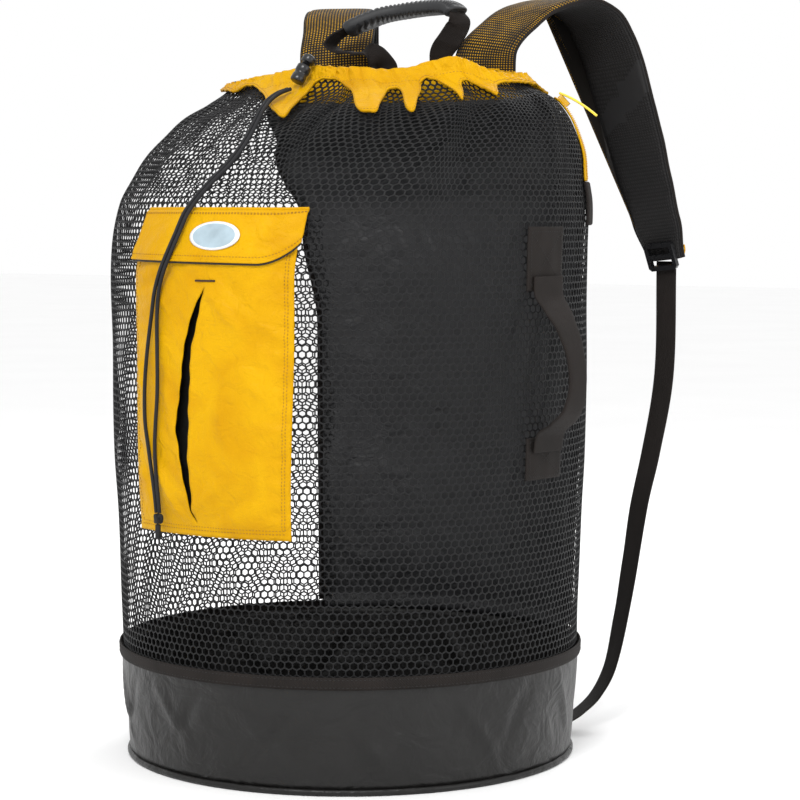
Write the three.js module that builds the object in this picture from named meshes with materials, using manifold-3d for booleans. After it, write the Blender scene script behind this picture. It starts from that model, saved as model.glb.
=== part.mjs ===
// A mesh dive gear bag that stands on its tub and is worn on the back.
// Millimetres, +Z up, the front pocket faces -Y, and the origin is the middle of the tub's underside.
// A turn is an angle about the bag's axis, from the front towards the bag's right side, +X.
import * as THREE from "three";
import { mergeVertices } from "three/addons/utils/BufferGeometryUtils.js";
import Module from "manifold-3d";

const wasm = await Module();
wasm.setup();

const { PI, sin, cos, asin, atan2, abs, min, max, sign } = Math;
const deg = THREE.MathUtils.degToRad;
const lerp = THREE.MathUtils.lerp;

// Body
const BODY_RADIUS = 236;
const BODY_HEIGHT = 692;
const RING_STEPS = 42;
const SEAM_GAP = 0.4;
const SEAM_LIFT = 0.8;

// Tub
const BASE_HEIGHT = 104;
const BASE_WALL = 2;
const BASE_CREASE = 2.2;
const FLOOR_THICKNESS = 3;
const WELT_RADIUS = 3.2;
const BINDING_HEIGHT = 12;
const BINDING_THICKNESS = 1.4;

// Net and back panel
const NET_BELOW_TOP = 39;
const NET_TOP = BODY_HEIGHT - NET_BELOW_TOP;
const NET_THICKNESS = 2;
const NET_COLUMNS = 14;
const NET_ROWS = 7;
const NET_BAR = 10;
const PANEL_WIDTH = 305;
const PANEL_BELOW_TOP = 47;
const PANEL_TOP = BODY_HEIGHT - PANEL_BELOW_TOP;
const PANEL_THICKNESS = 2;
const PANEL_LAP = 8;

// Mouth
const COLLAR_WALL = 2.4;
const COLLAR_LIFT = 1.3;
const COLLAR_DEPTH = 49;
const RIM_BELOW_TOP = 12;
const COLLAR_RIM = BODY_HEIGHT - RIM_BELOW_TOP;
const COLLAR_RIM_TILT = 10;
const HEM_BELOW_TOP = 43.5;
const COLLAR_BACK_HEM = BODY_HEIGHT - HEM_BELOW_TOP;
const COLLAR_STEPS = 58;
const GATHERS = 18;
const GATHER_DEPTH = 3.2;

// Front pocket
const POCKET_WIDTH = 180;
const POCKET_HEIGHT = 296;
const POCKET_BOTTOM = 238;
const POCKET_DEPTH = 12;
const POCKET_WALL = 1.5;
const POCKET_SEAM = 7;
const POCKET_EDGE = 3.6;
const SLIT_LENGTH = 222;
const SLIT_WIDTH = 13;
const FLAP_HEIGHT = 50;
const FLAP_SIDE = 3;
const FLAP_WALL = 1.8;
const BADGE_WIDTH = 51;
const BADGE_HEIGHT = 25;
const BADGE_THICKNESS = 1.2;

// Side handle
const SIDE_TURN = deg(85.5);
const ANCHOR_WIDTH = 56;
const ANCHOR_THICKNESS = 2;
const UPPER_ANCHOR_TOP = 523;
const UPPER_ANCHOR_HEIGHT = 60;
const LOWER_ANCHOR_TOP = 326;
const LOWER_ANCHOR_HEIGHT = 40;
const SIDE_HANDLE_REACH = 38;
const SIDE_HANDLE_WIDTH = 46;
const SIDE_HANDLE_THICKNESS = 3;

// Zip
const ZIP_TURN = deg(113);
const ZIP_BELOW_TOP = 46;
const ZIP_LENGTH = 80;
const ZIP_TOP = BODY_HEIGHT - ZIP_BELOW_TOP;
const ZIP_BOTTOM = ZIP_TOP - ZIP_LENGTH;
const ZIP_WIDTH = 24;
const ZIP_THICKNESS = 1.6;
const GARAGE_HEIGHT = 42;
const GARAGE_WIDTH = 34;
const GARAGE_THICKNESS = 3;
const SLIDER_LENGTH = 15;
const SLIDER_WIDTH = 11;
const SLIDER_THICKNESS = 4.5;
const PULL_LENGTH = 44;
const PULL_WIDTH = 9;
const PULL_THICKNESS = 2.4;

// Top handle
const HANDLE_WIDTH = 24;
const HANDLE_THICKNESS = 3;
const HANDLE_SPAN = 62;
const HANDLE_RISE = 74;
const HANDLE_SWAY = 36;
const GRIP_WIDTH = 32;
const GRIP_DEPTH = 15;
const GRIP_WALL_GAP = 0.9;

// Shoulder straps, their buckles and webs
const STRAP_WIDTH = 76;
const STRAP_THICKNESS = 10;
const STRAP_BELOW_TOP = 23;
const STRAP_ROOT = BODY_HEIGHT - STRAP_BELOW_TOP;
const STRAP_RISE = 80;
const STRAP_DROP = 262;
const STRAP_REACH = 207;
const WEB_WIDTH = 25;
const WEB_THICKNESS = 2;
const WEB_END = 13;
const LOCK_WIDTH = 36;
const LOCK_LENGTH = 30;
const LOCK_THICKNESS = 5;
const LOCK_BAR = 5;

// Cord lock and drawcord
const CORD_DIAMETER = 3.6;
const LOCK_TURN = deg(-3);
const LOCK_BELOW_TOP = 37;
const LOCK_HEIGHT = BODY_HEIGHT - LOCK_BELOW_TOP;
const LOCK_LIFT = 14.9;
const LOCK_LEAN_SIDE = deg(17);
const LOCK_LEAN_BACK = deg(24);
const BARREL_RADIUS = 7;
const BARREL_LENGTH = 18;
const BARREL_FLOOR = 5;
const STEM_RADIUS = 4;
const STEM_LENGTH = 12;
const STEM_GAP = 0.4;
const BUTTON_RADIUS = 6.5;
const BUTTON_LENGTH = 8;
const BUTTON_TRAVEL = 3;
const BUTTON_REST_GAP = BUTTON_TRAVEL + 0.6;

// The body's cross sections: heights are shares of BODY_HEIGHT, the rest of BODY_RADIUS.
const BODY_SECTIONS = [
  { height: 0, halfWidth: 0.932, halfDepth: 0.932, right: 0, back: 0 },
  { height: 0.064, halfWidth: 0.953, halfDepth: 0.953, right: 0, back: 0 },
  { height: 0.15, halfWidth: 0.966, halfDepth: 0.966, right: 0, back: 0 },
  { height: 0.217, halfWidth: 0.97, halfDepth: 0.97, right: 0, back: 0 },
  { height: 0.35, halfWidth: 0.983, halfDepth: 0.983, right: 0, back: 0 },
  { height: 0.434, halfWidth: 0.996, halfDepth: 0.996, right: 0, back: 0 },
  { height: 0.578, halfWidth: 1, halfDepth: 1, right: 0, back: 0 },
  { height: 0.7225, halfWidth: 1, halfDepth: 1, right: 0, back: 0 },
  { height: 0.786, halfWidth: 0.99, halfDepth: 0.975, right: 0.014, back: 0.01 },
  { height: 0.824, halfWidth: 0.966, halfDepth: 0.911, right: 0.028, back: 0.02 },
  { height: 0.8555, halfWidth: 0.947, halfDepth: 0.847, right: 0.045, back: 0.032 },
  { height: 0.883, halfWidth: 0.911, halfDepth: 0.763, right: 0.062, back: 0.044 },
  { height: 0.9104, halfWidth: 0.87, halfDepth: 0.655, right: 0.076, back: 0.053 },
  { height: 0.9335, halfWidth: 0.8, halfDepth: 0.52, right: 0.095, back: 0.066 },
  { height: 0.948, halfWidth: 0.725, halfDepth: 0.44, right: 0.09, back: 0.062 },
  { height: 0.9595, halfWidth: 0.691, halfDepth: 0.402, right: 0.085, back: 0.059 },
  { height: 0.977, halfWidth: 0.67, halfDepth: 0.38, right: 0.08, back: 0.055 },
  { height: 1, halfWidth: 0.66, halfDepth: 0.37, right: 0.078, back: 0.054 },
];

// How far the back panel's edges flare out from its width, in degrees, by shares of BODY_HEIGHT.
const PANEL_FLARE = [
  { height: 0, left: 0, right: 0 },
  { height: 0.6, left: 0, right: 0 },
  { height: 0.75, left: 4, right: 2 },
  { height: 0.87, left: 14, right: 6 },
  { height: 0.95, left: 23, right: 7 },
];

// Soft dents in the tub: turns in degrees, heights as shares of BASE_HEIGHT, depths of BASE_CREASE.
const BASE_DENTS = [
  { turn: -55, height: 0.45, turnSpread: 12, heightSpread: 0.3, depth: 0.9 },
  { turn: -18, height: 0.55, turnSpread: 9, heightSpread: 0.28, depth: 0.7 },
  { turn: 22, height: 0.4, turnSpread: 14, heightSpread: 0.3, depth: 1 },
  { turn: 62, height: 0.55, turnSpread: 10, heightSpread: 0.26, depth: 0.8 },
  { turn: 104, height: 0.45, turnSpread: 13, heightSpread: 0.3, depth: 1 },
  { turn: 165, height: 0.5, turnSpread: 18, heightSpread: 0.3, depth: 0.6 },
  { turn: 230, height: 0.5, turnSpread: 15, heightSpread: 0.3, depth: 0.9 },
];

// The collar's scalloped hem: turns in degrees, drops from the rim as shares of COLLAR_DEPTH.
const HEM_SCALLOPS = [
  { turn: -105, drop: 0.42 },
  { turn: -86, drop: 0.3 },
  { turn: -68, drop: 0.42 },
  { turn: -50, drop: 0.3 },
  { turn: -30, drop: 0.36 },
  { turn: -8, drop: 0.72 },
  { turn: -0.5, drop: 0.92 },
  { turn: 5, drop: 0.3 },
  { turn: 13, drop: 0.62 },
  { turn: 20, drop: 0.9 },
  { turn: 26, drop: 0.92 },
  { turn: 30, drop: 0.55 },
  { turn: 37, drop: 0.94 },
  { turn: 44, drop: 0.46 },
  { turn: 52, drop: 0.87 },
  { turn: 57, drop: 0.54 },
  { turn: 63, drop: 0.8 },
  { turn: 72, drop: 0.5 },
  { turn: 88, drop: 0.62 },
  { turn: 106, drop: 0.5 },
];

// The front pocket's two side edges: turns as shares of its half width's turn, by shares of its height.
const POCKET_EDGES = [
  { height: 0, left: -1, right: 1 },
  { height: 0.8, left: -0.98, right: 1.06 },
  { height: 1, left: -0.8, right: 1.11 },
];

// The pocket's upright slit: places across as shares of the half width, widths of SLIT_WIDTH.
const SLIT_ROWS = [
  { length: 0, across: 0.05, width: 0.1 },
  { length: 0.2, across: -0.03, width: 0.55 },
  { length: 0.45, across: -0.12, width: 0.6 },
  { length: 0.62, across: -0.18, width: 1 },
  { length: 0.8, across: -0.12, width: 0.9 },
  { length: 1, across: 0.05, width: 0.1 },
];

// The side handle's bow: drops from the upper anchor's foot to the lower anchor's head, and lifts.
const SIDE_HANDLE_BOW = [
  { drop: -0.1, lift: 0, width: 1 },
  { drop: 0.03, lift: 0.02, width: 1 },
  { drop: 0.13, lift: 0.3, width: 0.92 },
  { drop: 0.28, lift: 0.68, width: 0.72 },
  { drop: 0.46, lift: 0.94, width: 0.6 },
  { drop: 0.64, lift: 1, width: 0.58 },
  { drop: 0.8, lift: 0.85, width: 0.68 },
  { drop: 0.9, lift: 0.5, width: 0.88 },
  { drop: 0.97, lift: 0.12, width: 1 },
  { drop: 1.1, lift: 0, width: 1 },
];

// The top handle's loop, from its left root to its right one: right by HANDLE_SPAN, forward over the
// mouth by HANDLE_SWAY, up by HANDLE_RISE. A twist of 0 lies flat on the collar, 1 lies flat on top.
const HANDLE_LOOP = [
  { right: -0.5, front: 0, rise: 0, twist: 0 },
  { right: -0.5, front: -0.04, rise: 0.24, twist: 0 },
  { right: -0.66, front: 0.24, rise: 0.38, twist: 0.5 },
  { right: -0.9, front: 0.6, rise: 0.41, twist: 0.85 },
  { right: -1.13, front: 0.82, rise: 0.44, twist: 1 },
  { right: -1.24, front: 0.86, rise: 0.52, twist: 1 },
  { right: -1.16, front: 0.83, rise: 0.62, twist: 1 },
  { right: -0.97, front: 0.73, rise: 0.72, twist: 1 },
  { right: -0.435, front: 0.43, rise: 0.91, twist: 1 },
  { right: -0.03, front: 0.26, rise: 0.97, twist: 1 },
  { right: 0.45, front: 0.25, rise: 1, twist: 1 },
  { right: 0.81, front: 0.34, rise: 0.985, twist: 1 },
  { right: 0.97, front: 0.39, rise: 0.905, twist: 0.9 },
  { right: 1.02, front: 0.41, rise: 0.77, twist: 0.6 },
  { right: 0.94, front: 0.4, rise: 0.66, twist: 0.3 },
  { right: 0.8, front: 0.35, rise: 0.53, twist: 0.1 },
  { right: 0.6, front: 0.18, rise: 0.38, twist: 0 },
  { right: 0.52, front: 0.02, rise: 0.23, twist: 0 },
  { right: 0.5, front: 0, rise: 0, twist: 0 },
];
const HANDLE_STEPS = 36;
const GRIP_FIRST_STEP = 14;
const GRIP_LAST_STEP = 24;

// A shoulder strap's bow from its root: outward by STRAP_SPREAD, back by STRAP_REACH, up by
// STRAP_RISE, down by STRAP_DROP, and its width.
const STRAP_BOW = [
  { out: 0, back: 0, up: 0, down: 0, width: 1 },
  { out: 0.02, back: 0.01, up: 0.36, down: 0, width: 1 },
  { out: 0.13, back: 0.135, up: 0.7, down: 0, width: 1 },
  { out: 0.25, back: 0.25, up: 0.9, down: 0, width: 1 },
  { out: 0.43, back: 0.435, up: 1, down: 0, width: 1 },
  { out: 0.57, back: 0.57, up: 1, down: 0.05, width: 1 },
  { out: 0.64, back: 0.64, up: 1, down: 0.13, width: 1 },
  { out: 0.69, back: 0.69, up: 1, down: 0.22, width: 1 },
  { out: 0.76, back: 0.765, up: 1, down: 0.4, width: 0.98 },
  { out: 0.81, back: 0.815, up: 1, down: 0.52, width: 0.95 },
  { out: 0.87, back: 0.87, up: 1, down: 0.68, width: 0.9 },
  { out: 0.94, back: 0.94, up: 1, down: 0.85, width: 0.8 },
  { out: 1, back: 1, up: 1, down: 1, width: 0.62 },
];

// Each strap's root on the collar, its clearance from the collar's fullest line, its outward spread
// and the turn of its flat face.
const STRAPS = [
  { side: "right", out: 1, rootTurn: deg(155), rootClear: 0.9, spread: 98, twist: deg(6) },
  { side: "left", out: -1, rootTurn: deg(218.5), rootClear: -0.8, spread: 130, twist: deg(20) },
];

// An adjuster web's fall from its buckle to its sewn end on the tub, as shares of the way.
const WEB_FALL = [
  { along: 0, down: 0, turn: 0 },
  { along: 0.02, down: 0.26, turn: 0.05 },
  { along: 0.15, down: 0.43, turn: 0.15 },
  { along: 0.26, down: 0.54, turn: 0.25 },
  { along: 0.35, down: 0.67, turn: 0.4 },
  { along: 0.44, down: 0.79, turn: 0.55 },
  { along: 0.56, down: 0.905, turn: 0.75 },
  { along: 0.7, down: 0.957, turn: 0.9 },
  { along: 0.86, down: 0.985, turn: 1 },
  { along: 1, down: 1, turn: 1 },
];
const WEB_END_TURN = deg(139);

// The two strands' routes, from the cord lock over the net and flap to the knot.
const DRAWCORD_LEFT = [
  [5, -110, 653],
  [1.5, -123, 648.5],
  [1, -138, 641],
  [4, -153, 631],
  [7, -168, 617],
  [8.5, -186, 600],
  [6, -207, 580],
  [-3, -223, 563],
  [-10, -236, 547.5],
  [-14.5, -244.2, 535],
  [-19.5, -250.5, 517],
  [-27.5, -252.5, 500],
  [-37, -252, 482],
  [-45, -250, 463],
  [-50, -248.5, 441],
  [-56, -247, 412],
  [-60, -246, 385],
  [-61.5, -245.5, 363],
  [-60.5, -246, 341],
  [-57.5, -246.3, 323],
  [-54.5, -246.3, 305],
  [-52, -245.5, 286],
  [-50.3, -244.5, 268],
  [-49.6, -244, 257.4],
];
const DRAWCORD_RIGHT = [
  [9.3, -111, 653],
  [6, -123.5, 648.5],
  [5.5, -138.5, 641],
  [8.4, -153.5, 631],
  [11.3, -168.5, 617],
  [12.8, -186, 600],
  [10.4, -207, 580],
  [1.5, -223, 563],
  [-5.5, -236, 547.5],
  [-10, -244.2, 535],
  [-15.2, -250.5, 517],
  [-23, -252.5, 500],
  [-32.5, -252, 482],
  [-40, -250, 463],
  [-42.5, -249.5, 441],
  [-43, -249.2, 412],
  [-43, -249, 385],
  [-44, -248.7, 363],
  [-46.5, -248, 341],
  [-48, -247.4, 323],
  [-48.2, -246.8, 305],
  [-47.3, -246, 286],
  [-46, -245, 268],
  [-45.4, -244.4, 257.4],
];
const KNOT_RADIUS = 5.5;
const KNOT_LENGTH = 10;
const TAIL_RADIUS = 2.6;
const TAIL_LENGTH = 13;

// Colours and finishes
const finish = (color, roughness, metalness = 0) =>
  new THREE.MeshStandardMaterial({ color, roughness, metalness, side: THREE.FrontSide });
const COATED_BLACK = finish(0x353332, 0.45);
const NET_BLACK = finish(0x1f1f21, 0.7);
const PANEL_BLACK = finish(0x2b2b2e, 0.75);
const YELLOW_NYLON = finish(0xf0b60e, 0.5);
const WEBBING = finish(0x2a2522, 0.85);
const PAD_BLACK = finish(0x232122, 0.9);
const RUBBER = finish(0x2b2c2e, 0.6);
const HARD_BLACK = finish(0x161617, 0.4);
const CORD_BLACK = finish(0x262628, 0.8);
const BADGE_GREY = finish(0xb9bdbf, 0.5);

const bag = new THREE.Group();

function add(name, geometry, material) {
  const mesh = new THREE.Mesh(geometry, material);
  mesh.name = name;
  bag.add(mesh);
  return mesh;
}

// The value of a table's column at a place along its key column, on a smooth curve through its rows.
function smoothAt(rows, key, column, at) {
  const last = rows.length - 1;
  const place = min(max(at, rows[0][key]), rows[last][key]);
  let i = 0;
  while (i < last - 1 && place > rows[i + 1][key]) i += 1;
  const slope = (j) => {
    const a = rows[max(j - 1, 0)];
    const b = rows[min(j + 1, last)];
    return (b[column] - a[column]) / (b[key] - a[key]);
  };
  const span = rows[i + 1][key] - rows[i][key];
  const t = (place - rows[i][key]) / span;
  const t2 = t * t;
  const t3 = t2 * t;
  return (
    (2 * t3 - 3 * t2 + 1) * rows[i][column] +
    (t3 - 2 * t2 + t) * slope(i) * span +
    (3 * t2 - 2 * t3) * rows[i + 1][column] +
    (t3 - t2) * slope(i + 1) * span
  );
}

// The value between two rows on a cosine wave, which never leaves the rows' own values.
function waveAt(rows, key, column, at) {
  const last = rows.length - 1;
  const place = min(max(at, rows[0][key]), rows[last][key]);
  let i = 0;
  while (i < last - 1 && place > rows[i + 1][key]) i += 1;
  const t = (place - rows[i][key]) / (rows[i + 1][key] - rows[i][key]);
  return lerp(rows[i][column], rows[i + 1][column], (1 - cos(PI * t)) / 2);
}

function bodySize(column, height) {
  return BODY_RADIUS * smoothAt(BODY_SECTIONS, "height", column, height / BODY_HEIGHT);
}

function facePoint(turn, height) {
  return new THREE.Vector3(
    bodySize("right", height) + bodySize("halfWidth", height) * sin(turn),
    bodySize("back", height) - bodySize("halfDepth", height) * cos(turn),
    height,
  );
}

// A point on the bag's face, lifted off it along its outward normal.
function bagPoint(turn, height, lift = 0) {
  const step = 0.001;
  const rise = 0.5;
  const across = facePoint(turn + step, height).sub(facePoint(turn - step, height));
  const up = facePoint(turn, height + rise).sub(facePoint(turn, height - rise));
  return facePoint(turn, height).addScaledVector(across.cross(up).normalize(), lift);
}

// The turn that a length takes up on the body's widest ring.
const turnOf = (length) => length / BODY_RADIUS;

function geometryOf(points, quads) {
  const geometry = new THREE.BufferGeometry();
  geometry.setAttribute("position", new THREE.Float32BufferAttribute(points.flatMap((p) => p.toArray()), 3));
  geometry.setIndex(quads.flatMap(([a, b, c, d]) => (d === undefined ? [a, b, c] : [a, b, c, a, c, d])));
  geometry.computeVertexNormals();
  return geometry;
}

const evenly = (steps) => Array.from({ length: steps + 1 }, (_, i) => i / steps);

// A closed wall between an outer and an inner surface, each a function of across and up from 0 to 1.
// across runs to the right as seen from outside. A ring is closed round across.
function wall(outer, inner, acrossAt, upAt, ring = false) {
  const columns = ring ? acrossAt.slice(0, -1) : acrossAt;
  const count = columns.length;
  const rows = upAt.length;
  const points = [outer, inner].flatMap((side) => columns.flatMap((u) => upAt.map((v) => side(u, v))));
  const out = (i, j) => (i % count) * rows + j;
  const into = (i, j) => count * rows + out(i, j);
  const quads = [];
  const cells = ring ? count : count - 1;
  for (let i = 0; i < cells; i += 1) {
    for (let j = 0; j < rows - 1; j += 1) {
      quads.push([out(i, j), out(i + 1, j), out(i + 1, j + 1), out(i, j + 1)]);
      quads.push([into(i, j), into(i, j + 1), into(i + 1, j + 1), into(i + 1, j)]);
    }
    quads.push([into(i, 0), into(i + 1, 0), out(i + 1, 0), out(i, 0)]);
    quads.push([out(i, rows - 1), out(i + 1, rows - 1), into(i + 1, rows - 1), into(i, rows - 1)]);
  }
  if (!ring) {
    for (let j = 0; j < rows - 1; j += 1) {
      quads.push([into(0, j), out(0, j), out(0, j + 1), into(0, j + 1)]);
      quads.push([out(cells, j), into(cells, j), into(cells, j + 1), out(cells, j + 1)]);
    }
  }
  return geometryOf(points, quads);
}

// A patch of cloth on the bag's face between two turns and two heights, from one lift to another.
function facePatch(turnAt, heightAt, innerLift, outerLift, acrossAt, upAt) {
  const surface = (lift) => (u, v) => bagPoint(turnAt(u, v), heightAt(u, v), lift(u, v));
  return wall(surface(outerLift), surface(innerLift), acrossAt, upAt);
}

// A band along a curve. widthDirection and halfSize give its cross section at each share of the way.
// Its face looks along width x tangent, and its two faces pull in towards its edges by crown.
function band(curve, widthDirection, halfWidth, thickness, steps, crown = 0, acrossSteps = 1) {
  const surface = (facing) => (u, v) => {
    const centre = curve.getPoint(v);
    const tangent = curve.getTangent(v);
    const wide = widthDirection(v).clone();
    wide.addScaledVector(tangent, -wide.dot(tangent)).normalize();
    const normal = wide.clone().cross(tangent).normalize();
    const across = 2 * u - 1;
    const half = (thickness / 2) * (1 - crown * across ** 4);
    return centre.addScaledVector(wide, across * halfWidth(v)).addScaledVector(normal, facing * half);
  };
  return wall(surface(1), surface(-1), evenly(acrossSteps), evenly(steps));
}

const curveThrough = (points) => new THREE.CatmullRomCurve3(points, false, "centripetal");

function manifoldOf(geometry) {
  const bare = geometry.clone();
  bare.deleteAttribute("normal");
  bare.deleteAttribute("uv");
  const merged = mergeVertices(bare, 1e-4);
  return new wasm.Manifold(
    new wasm.Mesh({
      numProp: 3,
      vertProperties: new Float32Array(merged.attributes.position.array),
      triVerts: new Uint32Array(merged.index.array),
    }),
  );
}

function geometryFrom(solid) {
  const mesh = solid.getMesh();
  const geometry = new THREE.BufferGeometry();
  geometry.setAttribute("position", new THREE.Float32BufferAttribute(mesh.vertProperties, 3));
  geometry.setIndex(Array.from(mesh.triVerts));
  geometry.computeVertexNormals();
  return geometry;
}

// A solid of revolution about +Z from a closed profile of radii and heights.
function turned(profile, steps) {
  const geometry = new THREE.LatheGeometry(
    profile.map(([radius, height]) => new THREE.Vector2(radius, height)),
    steps,
  );
  geometry.rotateX(PI / 2);
  return geometry;
}

// Tub: floor, piping, wall and the binding over its seam with the net

const weltRing = bodySize("halfWidth", WELT_RADIUS);
const floorRadius = weltRing - WELT_RADIUS - SEAM_GAP;
add(
  "base_floor",
  turned([[0, 0], [floorRadius, 0], [floorRadius, FLOOR_THICKNESS], [0, FLOOR_THICKNESS]], RING_STEPS),
  COATED_BLACK,
);

const weltProfile = evenly(6).map((t) => [
  weltRing + WELT_RADIUS * cos(2 * PI * t),
  WELT_RADIUS + WELT_RADIUS * sin(2 * PI * t),
]);
add("base_welt", turned(weltProfile, RING_STEPS), COATED_BLACK);

function baseDent(turn, height) {
  let depth = 0;
  for (const dent of BASE_DENTS) {
    const away = turn - deg(dent.turn);
    const round = atan2(sin(away), cos(away)) / deg(dent.turnSpread);
    const rise = (height / BASE_HEIGHT - dent.height) / dent.heightSpread;
    depth += dent.depth * BASE_CREASE * Math.exp(-(round ** 2) - rise ** 2);
  }
  const edge = height / BASE_HEIGHT;
  return depth * sin(PI * min(max(edge, 0), 1));
}

const baseFoot = 2 * WELT_RADIUS;
const baseSide = (lift) => (u, v) => {
  const turn = 2 * PI * u;
  const height = lerp(baseFoot, BASE_HEIGHT, v);
  return bagPoint(turn, height, lift - baseDent(turn, height));
};
add("base_wall", wall(baseSide(0), baseSide(-BASE_WALL), evenly(RING_STEPS), evenly(3), true), COATED_BLACK);

const bindingSide = (lift) => (u, v) =>
  bagPoint(2 * PI * u, BASE_HEIGHT + BINDING_HEIGHT * (v - 0.3), lift);
add(
  "base_binding",
  wall(bindingSide(SEAM_LIFT + BINDING_THICKNESS), bindingSide(SEAM_LIFT), evenly(RING_STEPS), evenly(1), true),
  WEBBING,
);

// Net and back panel

const panelHalfTurn = (side, height) =>
  asin(PANEL_WIDTH / 2 / BODY_RADIUS) +
  deg(waveAt(PANEL_FLARE, "height", side, height / BODY_HEIGHT));

// Heights that are evenly spaced along the body's side, measured over the dome at the front.
function evenHeights(bottom, top, count) {
  const samples = evenly(400).map((t) => lerp(bottom, top, t));
  const way = [0];
  for (let i = 1; i < samples.length; i += 1) {
    way.push(way[i - 1] + facePoint(0, samples[i]).distanceTo(facePoint(0, samples[i - 1])));
  }
  return (share) => {
    const target = (share / count) * way[way.length - 1];
    const next = max(way.findIndex((w) => w >= target), 1);
    const t = (target - way[next - 1]) / (way[next] - way[next - 1]);
    return lerp(samples[next - 1], samples[next], t);
  };
}

const netLevel = evenHeights(BASE_HEIGHT + SEAM_GAP, NET_TOP, NET_ROWS);
const netTurns = 2 * PI - panelHalfTurn("left", 0) - panelHalfTurn("right", 0);
const netBarShare = (NET_BAR * NET_COLUMNS) / (netTurns * BODY_RADIUS);

// A corner of the net's hexagons: half columns from the left edge, and levels from the bottom.
function netCorner(halfColumn, level) {
  const border = level === 0 || level === NET_ROWS;
  const middle = (halfColumn + level) % 2 === 1;
  const height = netLevel(level + (border ? 0 : middle ? -1 / 6 : 1 / 6));
  const leftEdge = panelHalfTurn("left", height) - PI;
  const rightEdge = PI - panelHalfTurn("right", height);
  return { turn: lerp(leftEdge, rightEdge, halfColumn / (2 * NET_COLUMNS)), height };
}

function netGeometry() {
  const points = [];
  const quads = [];
  const known = new Map();
  const pointAt = (key, corner) => {
    if (!known.has(key)) {
      known.set(key, points.length);
      points.push(bagPoint(corner.turn, corner.height, 0));
      points.push(bagPoint(corner.turn, corner.height, -NET_THICKNESS));
    }
    return known.get(key);
  };
  const latticeAt = (k, j) => pointAt(k + "," + j, netCorner(k, j));
  // Both faces of a flat cell: the outer one as given, the inner one turned round.
  const bothFaces = (...ids) => {
    quads.push(ids);
    quads.push(ids.map((id) => id + 1).reverse());
  };
  // The edge wall below a run from left to right, as seen from outside.
  const edgeWall = (a, b) => quads.push([a + 1, b + 1, b, a]);

  for (let j = 0; j < NET_ROWS; j += 1) {
    const first = j % 2;
    for (let k = first; k + 2 <= 2 * NET_COLUMNS; k += 2) {
      const loop = [
        [k, j],
        [k + 1, j],
        [k + 2, j],
        [k + 2, j + 1],
        [k + 1, j + 1],
        [k, j + 1],
      ];
      const corners = loop.map(([a, b]) => netCorner(a, b));
      const centre = {
        turn: corners.reduce((sum, c) => sum + c.turn, 0) / loop.length,
        height: corners.reduce((sum, c) => sum + c.height, 0) / loop.length,
      };
      const outside = loop.map(([a, b]) => latticeAt(a, b));
      const inside = corners.map((c, n) =>
        pointAt("hole" + k + "," + j + "," + n, {
          turn: lerp(c.turn, centre.turn, netBarShare),
          height: lerp(c.height, centre.height, netBarShare),
        }),
      );
      for (let n = 0; n < loop.length; n += 1) {
        const m = (n + 1) % loop.length;
        bothFaces(outside[n], outside[m], inside[m], inside[n]);
        edgeWall(inside[m], inside[n]);
      }
    }
    if (first === 1) {
      bothFaces(latticeAt(0, j), latticeAt(1, j), latticeAt(1, j + 1), latticeAt(0, j + 1));
      const end = 2 * NET_COLUMNS;
      bothFaces(latticeAt(end - 1, j), latticeAt(end, j), latticeAt(end, j + 1), latticeAt(end - 1, j + 1));
    }
    edgeWall(latticeAt(0, j + 1), latticeAt(0, j));
    edgeWall(latticeAt(2 * NET_COLUMNS, j), latticeAt(2 * NET_COLUMNS, j + 1));
  }
  for (let k = 0; k < 2 * NET_COLUMNS; k += 1) {
    edgeWall(latticeAt(k, 0), latticeAt(k + 1, 0));
    edgeWall(latticeAt(k + 1, NET_ROWS), latticeAt(k, NET_ROWS));
  }
  return geometryOf(points, quads);
}
add("net_body", netGeometry(), NET_BLACK);

// The panel laps over the net's two edges. Its rows stand at the net's own edge corners and between.
const panelFoot = BASE_HEIGHT + BINDING_HEIGHT * 0.7 + SEAM_GAP;
const netEdgeHeights = [];
for (let j = 1; j < NET_ROWS; j += 1) {
  netEdgeHeights.push(netCorner(0, j).height, netCorner(1, j).height);
}
const panelHeights = [panelFoot, ...netEdgeHeights.sort((a, b) => a - b), PANEL_TOP];
const panelShares = panelHeights
  .filter((height) => height >= panelFoot && height <= PANEL_TOP)
  .map((height) => (height - panelFoot) / (PANEL_TOP - panelFoot));
const lapTurn = turnOf(PANEL_LAP);
const panelTurn = (u, v) => {
  const across = 2 * u - 1;
  const half = panelHalfTurn(across < 0 ? "right" : "left", lerp(panelFoot, PANEL_TOP, v));
  const inner = min(abs(across) / 0.9, 1) * half;
  const lap = max(abs(across) - 0.9, 0) * 10 * lapTurn;
  return PI + sign(across) * (inner + lap);
};
add(
  "back_panel",
  facePatch(
    panelTurn,
    (u, v) => lerp(panelFoot, PANEL_TOP, v),
    () => SEAM_LIFT,
    () => SEAM_LIFT + PANEL_THICKNESS,
    [0, 0.05, ...evenly(6).slice(1, -1), 0.95, 1],
    panelShares,
  ),
  PANEL_BLACK,
);

// Gathered mouth

const signedTurn = (turn) => atan2(sin(turn), cos(turn));

const rimHeight = (turn) => COLLAR_RIM + COLLAR_RIM_TILT * sin(turn - deg(35));

function hemHeight(turn) {
  const at = signedTurn(turn) / deg(1);
  const first = HEM_SCALLOPS[0].turn;
  const last = HEM_SCALLOPS[HEM_SCALLOPS.length - 1].turn;
  if (at < first || at > last) return COLLAR_BACK_HEM;
  const edge = min((at - first) / 12, (last - at) / 12, 1);
  const dropped = rimHeight(turn) - COLLAR_DEPTH * waveAt(HEM_SCALLOPS, "turn", "drop", at);
  return lerp(COLLAR_BACK_HEM, dropped, max(edge, 0));
}

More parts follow.
